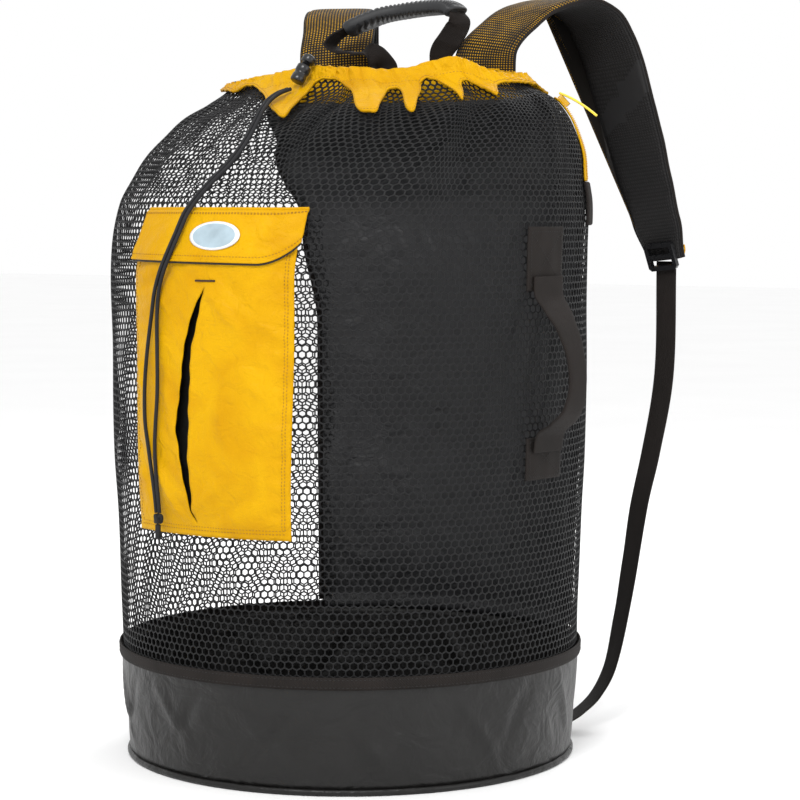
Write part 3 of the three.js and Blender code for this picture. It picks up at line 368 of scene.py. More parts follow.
def tube(name: str, path: Array, radius: float, around: int = 12) -> bpy.types.Object:
    """A round cord along a path.

    Args:
        name: the piece's name.
        path: its centre line.
        radius: its radius in metres.
        around: faces round it.

    Returns:
        The piece, closed at both ends.
    """
    up = np.tile(np.array([0.31, 0.2, 0.93]), (len(path), 1))
    tangent = unit(np.gradient(path, axis=0))
    near = np.abs(np.sum(up * tangent, axis=1)) > 0.97
    up[near] = np.array([1.0, 0.0, 0.0])
    size = np.full(len(path), radius)
    return sleeve(name, path, carried(tangent), size, size, around, 1.0)


def carried(tangent: Array) -> Array:
    """Side directions that are carried along a path without twisting.

    Args:
        tangent: the path's directions.

    Returns:
        A side direction at each point.
    """
    first = np.cross(tangent[0], [0.0, 0.0, 1.0])
    if np.linalg.norm(first) < 0.1:
        first = np.array([1.0, 0.0, 0.0])
    sides = [first / np.linalg.norm(first)]
    for t in tangent[1:]:
        s = sides[-1] - t * np.dot(sides[-1], t)
        sides.append(s / np.linalg.norm(s))
    return np.array(sides)


def lathe(name: str, profile: Sequence[tuple[float, float]], place: Matrix, steps: int) -> bpy.types.Object:
    """A turned body.

    Args:
        name: the piece's name.
        profile: radii and heights, from the axis back to the axis.
        place: where its axis and foot go.
        steps: faces round it.

    Returns:
        The piece.
    """
    bm = bmesh.new()
    verts = [bm.verts.new((radius, 0, height)) for radius, height in profile]
    edges = [bm.edges.new(pair) for pair in zip(verts, verts[1:])]
    bmesh.ops.spin(
        bm,
        geom=verts + edges,
        axis=(0, 0, 1),
        cent=(0, 0, 0),
        angle=2 * math.pi,
        steps=steps,
        use_merge=True,
    )
    bmesh.ops.remove_doubles(bm, verts=bm.verts, dist=1e-6)
    bmesh.ops.recalc_face_normals(bm, faces=bm.faces)
    bmesh.ops.transform(bm, matrix=place, verts=bm.verts)
    return to_object(name, bm)


def flattened(piece: bpy.types.Object) -> bpy.types.Mesh:
    """Takes a piece's mesh with its modifiers applied, and removes the piece.

    Args:
        piece: the piece.

    Returns:
        The mesh.
    """
    graph = bpy.context.evaluated_depsgraph_get()
    mesh = bpy.data.meshes.new_from_object(piece.evaluated_get(graph))
    bpy.data.objects.remove(piece)
    return mesh


def move_corners(mesh: bpy.types.Mesh, place: Callable[[Array], Array]) -> None:
    """Moves a mesh's corners to where place puts them.

    Args:
        mesh: the mesh.
        place: gives the new points for the old ones.
    """
    corners = np.empty(len(mesh.vertices) * 3)
    mesh.vertices.foreach_get("co", corners)
    mesh.vertices.foreach_set("co", place(corners.reshape(-1, 3)).ravel())
    mesh.update()


def stitches(
    name: str, runs: Sequence[tuple[Array, Array]], pitch: float = 3.2 * MM, radius: float = 0.42 * MM
) -> bpy.types.Object:
    """Rows of sewn stitches as small raised threads: a straight row, bent onto each path.

    Args:
        name: the piece's name.
        runs: each row's path and the cloth's outward normals along it.
        pitch: the distance from stitch to stitch.
        radius: the thread's radius.

    Returns:
        One piece with every stitch.
    """
    whole = bmesh.new()
    for path, normals in runs:
        way = np.concatenate([[0], np.cumsum(np.linalg.norm(np.diff(path, axis=0), axis=1))])
        count = max(int(way[-1] / pitch), 1)
        one = bmesh.new()
        size = Matrix.Diagonal((0.38 * pitch, radius, radius, 1))
        place = Matrix.Translation((pitch / 2, 0, 0)) @ size
        bmesh.ops.create_uvsphere(one, u_segments=5, v_segments=3, radius=1, matrix=place)
        row = to_object(name + "_row", one)
        array = row.modifiers.new("row", "ARRAY")
        array.use_relative_offset = False
        array.use_constant_offset = True
        array.constant_offset_displace = (pitch, 0, 0)
        array.count = count
        mesh = flattened(row)
        tangent = unit(np.gradient(path, axis=0))

        def bend(corners: Array) -> Array:
            """Bends a straight row's corners onto its path."""
            at = corners[:, 0] * way[-1] / (count * pitch)
            centre, along, out = (
                np.stack([np.interp(at, way, values[:, k]) for k in range(3)], axis=1)
                for values in (path, tangent, normals)
            )
            side = unit(np.cross(along, out))
            return centre + side * corners[:, 1:2] + unit(np.cross(side, along)) * corners[:, 2:3]

        move_corners(mesh, bend)
        whole.from_mesh(mesh)
        bpy.data.meshes.remove(mesh)
    return to_object(name, whole)


# The bag's body


@dataclass(frozen=True)
class BodyForm:
    """The bag's drum: upright ellipses, each a share of the radius at a share of the height."""

    radius: float = 236 * MM
    height: float = 692 * MM
    levels: tuple[float, ...] = (
        0, 0.064, 0.15, 0.217, 0.35, 0.434, 0.578, 0.7225, 0.786, 0.824, 0.8555, 0.883, 0.9104, 0.9335,
        0.948, 0.9595, 0.977, 1,
    )  # fmt: skip
    half_width: tuple[float, ...] = (
        0.932, 0.953, 0.966, 0.97, 0.983, 0.996, 1, 1, 0.99, 0.966, 0.947, 0.911, 0.87, 0.8, 0.725, 0.691,
        0.67, 0.66,
    )  # fmt: skip
    half_depth: tuple[float, ...] = (
        0.932, 0.953, 0.966, 0.97, 0.983, 0.996, 1, 1, 0.975, 0.911, 0.847, 0.763, 0.655, 0.52, 0.44, 0.402,
        0.38, 0.37,
    )  # fmt: skip
    right: tuple[float, ...] = (
        0, 0, 0, 0, 0, 0, 0, 0, 0.014, 0.028, 0.045, 0.062, 0.076, 0.095, 0.09, 0.085, 0.08, 0.078,
    )  # fmt: skip
    back: tuple[float, ...] = (
        0, 0, 0, 0, 0, 0, 0, 0, 0.01, 0.02, 0.032, 0.044, 0.053, 0.066, 0.062, 0.059, 0.055, 0.054,
    )  # fmt: skip

    def size(self, values: Sequence[float], height: Array) -> Array:
        """One of the sections' sizes in metres at heights."""
        return self.radius * smooth_at(self.levels, values, np.asarray(height) / self.height)

    def face(self, turn: Array, height: Array) -> Array:
        """The points of the drum's face at turns and heights."""
        turn, height = np.broadcast_arrays(np.asarray(turn, float), np.asarray(height, float))
        x = self.size(self.right, height) + self.size(self.half_width, height) * np.sin(turn)
        y = self.size(self.back, height) - self.size(self.half_depth, height) * np.cos(turn)
        return np.stack([x, y, height], axis=-1)

    def normal(self, turn: Array, height: Array) -> Array:
        """The drum's outward normals at turns and heights."""
        step, rise = 0.001, 0.5 * MM
        height = np.asarray(height, float)
        across = self.face(turn + step, height) - self.face(turn - step, height)
        up = self.face(turn, height + rise) - self.face(turn, height - rise)
        return unit(np.cross(across, up))

    def point(self, turn: Array, height: Array, lift: Array | float = 0.0) -> Array:
        """Points at turns and heights, lifted off the face along its normal."""
        lift = np.asarray(lift, float)
        return self.face(turn, height) + self.normal(turn, height) * lift[..., None]

    def turn_of(self, length: float) -> float:
        """The turn that a length takes up on the widest ring."""
        return length / self.radius


BODY = BodyForm()
PANEL_WIDTH = 305 * MM
FLARE_LEVELS = (0, 0.6, 0.75, 0.87, 0.95)
FLARE_DEGREES = {Side.LEFT: (0, 0, 4, 14, 23), Side.RIGHT: (0, 0, 2, 6, 7)}


def panel_half_turn(side: Side, height: Array) -> Array:
    """How far the back panel's edge on one side turns from the middle of the back.

    Args:
        side: which edge.
        height: the heights asked for.

    Returns:
        The turns.
    """
    flare = wave_at(FLARE_LEVELS, FLARE_DEGREES[side], np.asarray(height) / BODY.height)
    return math.asin(PANEL_WIDTH / 2 / BODY.radius) + np.radians(flare)


# Finishes


class Material:
    """A material that is being put together from nodes."""

    def __init__(self, name: str, roughness: float, **shader: float | Color) -> None:
        """Starts a material.

        Args:
            name: its name.
            roughness: its shader's roughness.
            shader: the shader's other fixed sockets, with underscores for spaces.
        """
        self.material = bpy.data.materials.new(name)
        self.material.use_nodes = True
        self.tree = self.material.node_tree
        self.shader = self.tree.nodes["Principled BSDF"]
        self.shader.inputs["Roughness"].default_value = roughness
        for socket, value in shader.items():
            target = self.shader.inputs[socket.replace("_", " ")]
            target.default_value = (*value, 1) if isinstance(value, tuple) else value

    def node(self, kind: str, settings: dict | None = None, **inputs: object) -> bpy.types.Node:
        """Adds a node.

        Args:
            kind: the node type without its prefix.
            settings: the node's own properties.
            inputs: socket values or sockets to join, by socket name or by s and its number.

        Returns:
            The node.
        """
        made = self.tree.nodes.new("ShaderNode" + kind)
        for key, value in (settings or {}).items():
            setattr(made, key, value)
        for key, value in inputs.items():
            socket = made.inputs[int(key[1:])] if key[0] == "s" and key[1:].isdigit() else made.inputs[key]
            if isinstance(value, bpy.types.NodeSocket):
                self.tree.links.new(value, socket)
            elif isinstance(value, tuple) and len(value) == 3 and socket.type == "RGBA":
                socket.default_value = (*value, 1)
            else:
                socket.default_value = value
        return made

    def place(self, kind: str = "Object") -> bpy.types.NodeSocket:
        """The Object or UV coordinates."""
        return self.node("TexCoord").outputs[kind]

    def noise(self, size: float, detail: float = 2, spread: float = 0) -> bpy.types.NodeSocket:
        """Cloudy noise whose grains are about size metres."""
        made = self.node("TexNoise", Vector=self.place(), Scale=1 / size, Detail=detail, Distortion=spread)
        return made.outputs["Fac"]

    def bands(self, pitch: float, along: str, coordinate: bpy.types.NodeSocket) -> bpy.types.NodeSocket:
        """Even bands, one every pitch metres along X, Y or the diagonal."""
        settings = {"wave_type": "BANDS", "bands_direction": along}
        scale = 2 * math.pi / 20 / pitch
        return self.node("TexWave", settings, Vector=coordinate, Scale=scale).outputs["Fac"]

    def math(self, operation: str, a: object, b: object) -> bpy.types.NodeSocket:
        """One sum, product or other operation on two values."""
        return self.node("Math", {"operation": operation}, s0=a, s1=b).outputs[0]

    def between(self, value: object, low: float, high: float) -> bpy.types.NodeSocket:
        """Stretches low to high over 0 to 1."""
        made = self.node("MapRange", Value=value)
        made.inputs["From Min"].default_value = low
        made.inputs["From Max"].default_value = high
        return made.outputs["Result"]

    def blend(self, share: object, a: object, b: object) -> bpy.types.NodeSocket:
        """A colour between a and b."""
        made = self.node("Mix", {"data_type": "RGBA"}, s0=share, s6=a, s7=b)
        return made.outputs[2]

    def bump(self, height: object, depth: float, under: object = None) -> bpy.types.NodeSocket:
        """Relief of depth metres, on top of another relief."""
        made = self.node("Bump", Height=height, Distance=depth, Strength=1.0)
        if under is not None:
            self.tree.links.new(under, made.inputs["Normal"])
        return made.outputs["Normal"]

    def finish(self, color: object, normal: object = None, roughness: object = None) -> bpy.types.Material:
        """Joins the results to the shader."""
        self.tree.links.new(color, self.shader.inputs["Base Color"])
        if normal is not None:
            self.tree.links.new(normal, self.shader.inputs["Normal"])
        if roughness is not None:
            self.tree.links.new(roughness, self.shader.inputs["Roughness"])
        return self.material


@dataclass(frozen=True)
class ClothFinish:
    """A woven, knitted or braided finish."""

    name: str
    slot: str
    color: Color
    shade: Color
    roughness: float
    weave: Weave
    thread: float
    relief: float
    wrinkle: float = 22 * MM
    wrinkle_depth: float = 1.2 * MM
    sheen: float = 0.0
    gloss: float = 0.4
    fleck: Color | None = None

    def threads(self, m: Material) -> bpy.types.NodeSocket:
        """The height of the threads over the cloth.

        Args:
            m: the material that it goes in.

        Returns:
            The height, from 0 to 1.
        """
        uv = m.place("UV")
        if self.weave is Weave.BRAIDED:
            turned = m.node("Mapping", Vector=uv, Rotation=(0, 0, math.radians(58))).outputs[0]
            other = m.node("Mapping", Vector=uv, Rotation=(0, 0, math.radians(-58))).outputs[0]
            return m.math("MAXIMUM", m.bands(self.thread, "X", turned), m.bands(self.thread, "X", other))
        if self.weave is Weave.RIBBED:
            ribs = m.bands(self.thread, "X", uv)
            picks = m.bands(self.thread * 0.8, "DIAGONAL", uv)
            return m.math("ADD", m.math("MULTIPLY", ribs, 0.6), m.math("MULTIPLY", picks, 0.4))
        across = m.bands(self.thread, "X", uv)
        up = m.bands(self.thread, "Y", uv)
        return m.math("MULTIPLY", across, up)

    def make(self) -> bpy.types.Material:
        """Builds the material."""
        m = Material(
            self.name,
            self.roughness,
            Sheen_Weight=self.sheen,
            Sheen_Roughness=0.5,
            Specular_IOR_Level=self.gloss,
        )
        threads = self.threads(m)
        clouds = m.between(m.noise(55 * MM, 4, 0.6), 0.35, 0.7)
        color = m.blend(clouds, self.color, self.shade)
        # Darker where the threads sink: painted shade in the hollows between threads.
        dark = tuple(0.55 * c for c in self.shade)
        color = m.blend(m.math("MULTIPLY", m.between(threads, 0.35, 0.0), 0.5), color, dark)
        if self.fleck is not None:
            dots = m.between(threads, 0.42, 0.55)
            patches = m.between(m.noise(30 * MM, 3, 0.3), 0.25, 0.6)
            color = m.blend(m.math("MULTIPLY", dots, patches), color, self.fleck)
        normal = m.bump(m.noise(self.wrinkle, 3, 1.2), self.wrinkle_depth)
        normal = m.bump(m.noise(self.wrinkle / 5, 2, 0.4), self.wrinkle_depth / 6, normal)
        normal = m.bump(threads, self.relief, normal)
        rough = m.between(m.noise(18 * MM, 3), -1.2, 2.2)
        low, high = max(self.roughness - 0.12, 0.15), min(self.roughness + 0.12, 1)
        rough = m.math("ADD", m.math("MULTIPLY", rough, high - low), low)
        return m.finish(color, normal, rough)


@dataclass(frozen=True)
class MouldedFinish:
    """A moulded plastic or rubber finish."""

    name: str
    slot: str
    color: Color
    roughness: float
    grain: float = 0.8 * MM
    relief: float = 0.05 * MM

    def make(self) -> bpy.types.Material:
        """Builds the material."""
        m = Material(self.name, self.roughness, Specular_IOR_Level=0.5)
        clouds = m.between(m.noise(14 * MM, 3), 0.3, 0.75)
        color = m.blend(clouds, self.color, tuple(0.75 * c for c in self.color))
        normal = m.bump(m.noise(self.grain, 2), self.relief)
        rough = m.math("ADD", m.math("MULTIPLY", m.noise(6 * MM, 2), 0.25), self.roughness - 0.12)
        return m.finish(color, normal, rough)


YELLOW = ClothFinish(
    "yellow nylon", "yellow_nylon", (0.7, 0.385, 0.002), (0.58, 0.285, 0.001), 0.45, Weave.PLAIN,
    0.7 * MM, 0.05 * MM, 14 * MM, 2.2 * MM, 0.0, 0.08,
)  # fmt: skip
COATED = ClothFinish(
    "coated black cloth", "coated_black", (0.012, 0.0115, 0.011), (0.008, 0.0075, 0.007), 0.4, Weave.PLAIN,
    0.6 * MM, 0.03 * MM, 38 * MM, 4.0 * MM, 0.0, 0.3,
)  # fmt: skip
NET = ClothFinish(
    "knitted net", "net_black", (0.006, 0.006, 0.0065), (0.008, 0.008, 0.009), 0.6, Weave.KNITTED,
    0.5 * MM, 0.1 * MM, 9 * MM, 0.2 * MM, 0.0, 0.25,
)  # fmt: skip
PANEL = ClothFinish(
    "black panel cloth", "panel_black", (0.017, 0.017, 0.019), (0.012, 0.012, 0.0135), 0.42, Weave.PLAIN,
    0.8 * MM, 0.08 * MM, 34 * MM, 3.4 * MM, 0.0, 0.5,
)  # fmt: skip
WEB = ClothFinish(
    "black webbing", "webbing", (0.013, 0.0095, 0.008), (0.008, 0.006, 0.005), 0.75, Weave.RIBBED,
    1.5 * MM, 0.3 * MM, 20 * MM, 0.5 * MM, 0.0, 0.22,
)  # fmt: skip
PAD_OUTER = ClothFinish(
    "spacer mesh over gold", "pad_black", (0.012, 0.0095, 0.008), (0.009, 0.0075, 0.006), 0.7, Weave.SPACER,
    3.1 * MM, 0.35 * MM, 30 * MM, 0.7 * MM, 0.0, 0.2, (0.52, 0.27, 0.006),
)  # fmt: skip
PAD_INNER = ClothFinish(
    "black spacer mesh", "pad_black", (0.012, 0.011, 0.011), (0.008, 0.0075, 0.0075), 0.7, Weave.SPACER,
    3.2 * MM, 0.55 * MM, 30 * MM, 0.7 * MM, 0.0, 0.3,
)  # fmt: skip
PAD_BAND = ClothFinish(
    "plain strap band", "pad_black", (0.018, 0.0175, 0.018), (0.014, 0.0135, 0.014), 0.55, Weave.PLAIN,
    0.8 * MM, 0.08 * MM, 20 * MM, 0.5 * MM, 0.0, 0.35,
)  # fmt: skip
CORD = ClothFinish(
    "braided cord", "cord_black", (0.013, 0.013, 0.015), (0.009, 0.009, 0.01), 0.65, Weave.BRAIDED,
    1.1 * MM, 0.25 * MM, 20 * MM, 0.1 * MM, 0.0, 0.3,
)  # fmt: skip
PIPING = ClothFinish(
    "yellow piping", "yellow_nylon", (0.72, 0.37, 0.004), (0.55, 0.26, 0.002), 0.5, Weave.BRAIDED,
    1.2 * MM, 0.15 * MM, 20 * MM, 0.1 * MM, 0.0, 0.25,
)  # fmt: skip
PALE_YELLOW = ClothFinish(
    "pale yellow tape", "yellow_nylon", (0.85, 0.66, 0.06), (0.8, 0.56, 0.04), 0.5, Weave.RIBBED,
    0.9 * MM, 0.1 * MM, 20 * MM, 0.1 * MM, 0.0, 0.3,
)  # fmt: skip
THREAD = MouldedFinish("black thread", "webbing", (0.008, 0.007, 0.006), 0.7, 0.6 * MM, 0.1 * MM)
TACK = MouldedFinish("dark red tack", "webbing", (0.03, 0.008, 0.004), 0.7, 0.6 * MM, 0.1 * MM)
GOLD_THREAD = MouldedFinish("gold thread", "yellow_nylon", (0.34, 0.155, 0.002), 0.6, 0.6 * MM, 0.1 * MM)
TEETH = MouldedFinish("yellow zip teeth", "yellow_nylon", (0.66, 0.36, 0.006), 0.35, 0.6 * MM, 0.03 * MM)
RUBBER = MouldedFinish("ribbed rubber", "rubber", (0.014, 0.0145, 0.016), 0.5, 0.7 * MM, 0.06 * MM)
HARD = MouldedFinish("hard black plastic", "hard_black", (0.008, 0.008, 0.009), 0.3)
PALE = MouldedFinish("pale patch", "badge_grey", (0.36, 0.46, 0.52), 0.35, 0.5 * MM, 0.02 * MM)
PALE_RIM = MouldedFinish("patch rim", "badge_grey", (0.8, 0.81, 0.82), 0.4, 0.5 * MM, 0.02 * MM)

Finish = ClothFinish | MouldedFinish
MADE: dict[str, bpy.types.Material] = {}


def dress(piece: bpy.types.Object, *finishes: Finish) -> None:
    """Gives a piece its materials, in the order of its material indices.

    Args:
        piece: the piece or CAD node.
        finishes: its finishes.
    """
    for place, finish in enumerate(finishes):
        if finish.name not in MADE:
            MADE[finish.name] = finish.make()
        if place < len(piece.data.materials):
            piece.data.materials[place] = MADE[finish.name]
        else:
            piece.data.materials.append(MADE[finish.name])


def settle(piece: bpy.types.Object, finish: Finish, *nodes: str, body: str = "bag") -> bpy.types.Object:
    """Hands a finished piece to the frame.

    Args:
        piece: the piece.
        finish: its first finish, which it gets if it has no material yet.
        nodes: the CAD nodes that it stands for.
        body: the body that it rides on.

    Returns:
        The piece.
    """
    if not piece.data.materials:
        dress(piece, finish)
    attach(piece, body)
    if nodes:
        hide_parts(*nodes)
    LOG.info("%s: %d faces", piece.name, len(piece.data.polygons))
    return piece


# View and room


@dataclass
class Studio:
    """The camera at the photograph's angle, a pale floor and soft light."""

    azimuth: float = 35.0
    distance: float = 2.4868
    eye: float = 0.53746
    pitch: float = 4.327
    yaw: float = 1.146
    lens: float = 112.45
    floor_half: float = 14.0

    def camera(self) -> None:
        """Places the camera."""
        data = bpy.data.cameras.new("camera")
        data.lens = self.lens
        data.sensor_width = 36
        camera = bpy.data.objects.new("camera", data)
        bpy.context.scene.collection.objects.link(camera)
        turn = math.radians(self.azimuth)
        ahead = turn - math.radians(self.yaw)
        camera.location = (self.distance * math.sin(turn), -self.distance * math.cos(turn), self.eye)
        camera.rotation_euler = (math.radians(90 - self.pitch), 0, ahead)
        bpy.context.scene.camera = camera

    def floor(self) -> None:
        """Lays the pale floor."""
        bm = bmesh.new()
        bmesh.ops.create_grid(bm, x_segments=2, y_segments=2, size=self.floor_half)
        floor = to_object("floor", bm)
        m = Material("pale floor", 0.9)
        clouds = m.between(m.noise(0.4, 2), 0.3, 0.7)
        floor.data.materials.append(m.finish(m.blend(clouds, (0.97, 0.97, 0.97), (0.95, 0.95, 0.95))))

    def lamp(
        self, name: str, power: float, size: float, azimuth: float, height: float, away: float
    ) -> None:
        """Hangs one soft lamp that looks at the bag's middle.

        Args:
            name: its name.
            power: its power in watts.
            size: its side in metres.
            azimuth: its turn round the bag in degrees.
            height: its height.
            away: its distance from the bag's axis.
        """
        data = bpy.data.lights.new(name, "AREA")
        data.energy = power
        data.size = size
        lamp = bpy.data.objects.new(name, data)
        turn = math.radians(azimuth)
        lamp.location = (away * math.sin(turn), -away * math.cos(turn), height)
        lamp.rotation_euler = (Vector((0, 0, 0.35)) - lamp.location).to_track_quat("-Z", "Y").to_euler()
        bpy.context.scene.collection.objects.link(lamp)

    def light(self) -> None:
        """Sets the white room and its lamps."""
        world = bpy.data.worlds.new("room")
        world.use_nodes = True
        world.node_tree.nodes["Background"].inputs["Color"].default_value = (1, 1, 1, 1)
        world.node_tree.nodes["Background"].inputs["Strength"].default_value = 1.0
        bpy.context.scene.world = world
        bpy.context.scene.view_settings.view_transform = "Standard"
        self.lamp("key", 40, 0.8, 22, 2.1, 2.0)
        self.lamp("fill", 9, 1.4, 90, 1.0, 2.4)
        self.lamp("rim", 22, 1.2, 190, 2.0, 2.2)


# Tub


@dataclass
class Tub:
    """The coated tub: its wall, floor, piping and the binding over its seam with the net."""

    height: float = 104 * MM
    wall: float = 2 * MM
    floor: float = 3 * MM
    welt: float = 3.2 * MM
    seam_gap: float = 0.4 * MM
    seam_lift: float = 0.8 * MM
    binding_height: float = 12 * MM
    binding_wall: float = 1.4 * MM
    dent_depth: float = 3.6 * MM
    crease_depth: float = 3.8 * MM
    crease_spread: float = 6.5 * MM
    steps: int = 200
    dents: tuple[tuple[float, float, float, float, float], ...] = (
        (-55, 0.45, 12, 0.3, 0.9),
        (-18, 0.55, 9, 0.28, 0.7),
        (22, 0.4, 14, 0.3, 1),
        (62, 0.55, 10, 0.26, 0.8),
        (104, 0.45, 13, 0.3, 1),
        (165, 0.5, 18, 0.3, 0.6),
        (230, 0.5, 15, 0.3, 0.9),
    )
    # Soft creases: from turn and height share, to turn and height share, and depth in millimetres.
    creases: tuple[tuple[float, float, float, float, float], ...] = (
        (-48, 0.95, -36, 0.2, -0.9),
        (-30, 0.9, -40, 0.35, 0.8),
        (-20, 0.85, -8, 0.35, -1.0),
        (-2, 0.95, -12, 0.4, 0.8),
        (8, 0.75, 20, 0.2, -0.9),
        (26, 0.95, 15, 0.45, 0.9),
        (34, 0.7, 45, 0.15, -0.8),
        (52, 0.95, 42, 0.45, 0.8),
        (62, 0.8, 72, 0.3, -1.0),
        (84, 0.95, 76, 0.4, 0.8),
        (98, 0.8, 108, 0.3, -0.9),
        (130, 0.9, 120, 0.4, 0.8),
        (150, 0.7, 166, 0.3, -0.8),
        (190, 0.9, 180, 0.4, 0.8),
        (212, 0.8, 224, 0.3, -0.9),
        (250, 0.9, 240, 0.4, 0.8),
        (272, 0.8, 284, 0.3, -0.9),
    )

    def dent(self, turn: Array, height: Array) -> Array:
        """How far the wall sinks in at turns and heights.

        Args:
            turn: the turns.
            height: the heights.

        Returns:
            The depths in metres.
        """
        share = height / self.height
        depth = np.zeros_like(turn)
        for at, up, round_spread, up_spread, amount in self.dents:
            away = turn - math.radians(at)
            away = np.arctan2(np.sin(away), np.cos(away)) / math.radians(round_spread)
            depth += amount * self.dent_depth * np.exp(-(away**2) - ((share - up) / up_spread) ** 2)
        for a, low, b, high, amount in self.creases:
            start = (0.0, low * self.height)
            end = (math.radians(b - a) * BODY.radius, high * self.height)
            away = turn - math.radians(a)
            here = np.stack([np.arctan2(np.sin(away), np.cos(away)) * BODY.radius, height], axis=-1)
            depth += amount * self.crease_depth * ridge(here, start, end, self.crease_spread, 0.15)
        return depth * np.sin(np.pi * np.clip(share, 0, 1))

    def build(self) -> None:
        """Makes the tub's four pieces."""
        foot = 2 * self.welt

        def face(u: Array, v: Array) -> Array:
            """The outer face's points at shares across and up."""
            turn = 2 * np.pi * u
            height = mix(foot, self.height, v)
            return BODY.point(turn, height, -self.dent(turn, height))

        girth = 2 * math.pi * BODY.radius
        wall = cloth("tub_wall", (330, 22), (girth, self.height), face, self.wall, ring=True)
        settle(wall, COATED, "base_wall")

        ring = float(BODY.size(BODY.half_width, self.welt))
        bm = bmesh.new()
        place = Matrix.Translation((ring, 0, self.welt)) @ Matrix.Rotation(math.pi / 2, 4, "X")
        bmesh.ops.create_circle(bm, segments=14, radius=self.welt, matrix=place)
        bmesh.ops.spin(
            bm,
            geom=bm.verts[:] + bm.edges[:],
            axis=(0, 0, 1),
            cent=(0, 0, 0),
            angle=2 * math.pi,
            steps=self.steps,
            use_merge=True,
        )
        bmesh.ops.recalc_face_normals(bm, faces=bm.faces)
        settle(to_object("tub_piping", bm), COATED, "base_welt")

        inner = ring - self.welt - self.seam_gap
        profile = [(0, 0), (inner - 0.6 * MM, 0), (inner, 0.6 * MM), (inner, self.floor), (0, self.floor)]
        settle(lathe("tub_floor", profile, Matrix.Identity(4), self.steps), COATED, "base_floor")

        def band(u: Array, v: Array) -> Array:
            """The tape's outer face at shares round and up."""
            turn = 2 * np.pi * u
            bulge = 0.6 * MM * np.sin(np.pi * v)
            lift = self.seam_lift + self.binding_wall + bulge
            return BODY.point(turn, self.height + self.binding_height * (v - 0.3), lift)

        span = (girth, self.binding_height)
        tape = cloth("tub_binding", (240, 6), span, band, self.binding_wall, ring=True)
        settle(tape, WEB, "base_binding")
        rows = []
        for share in (0.2, 0.8):
            turn = np.linspace(0, 2 * np.pi, 500)
            height = np.full(500, self.height + self.binding_height * (share - 0.3))
            lift = self.seam_lift + self.binding_wall + 0.35 * MM
            rows.append((BODY.point(turn, height, lift), BODY.normal(turn, height)))
        settle(stitches("tub_binding_stitches", rows, 4 * MM), THREAD)


# Net


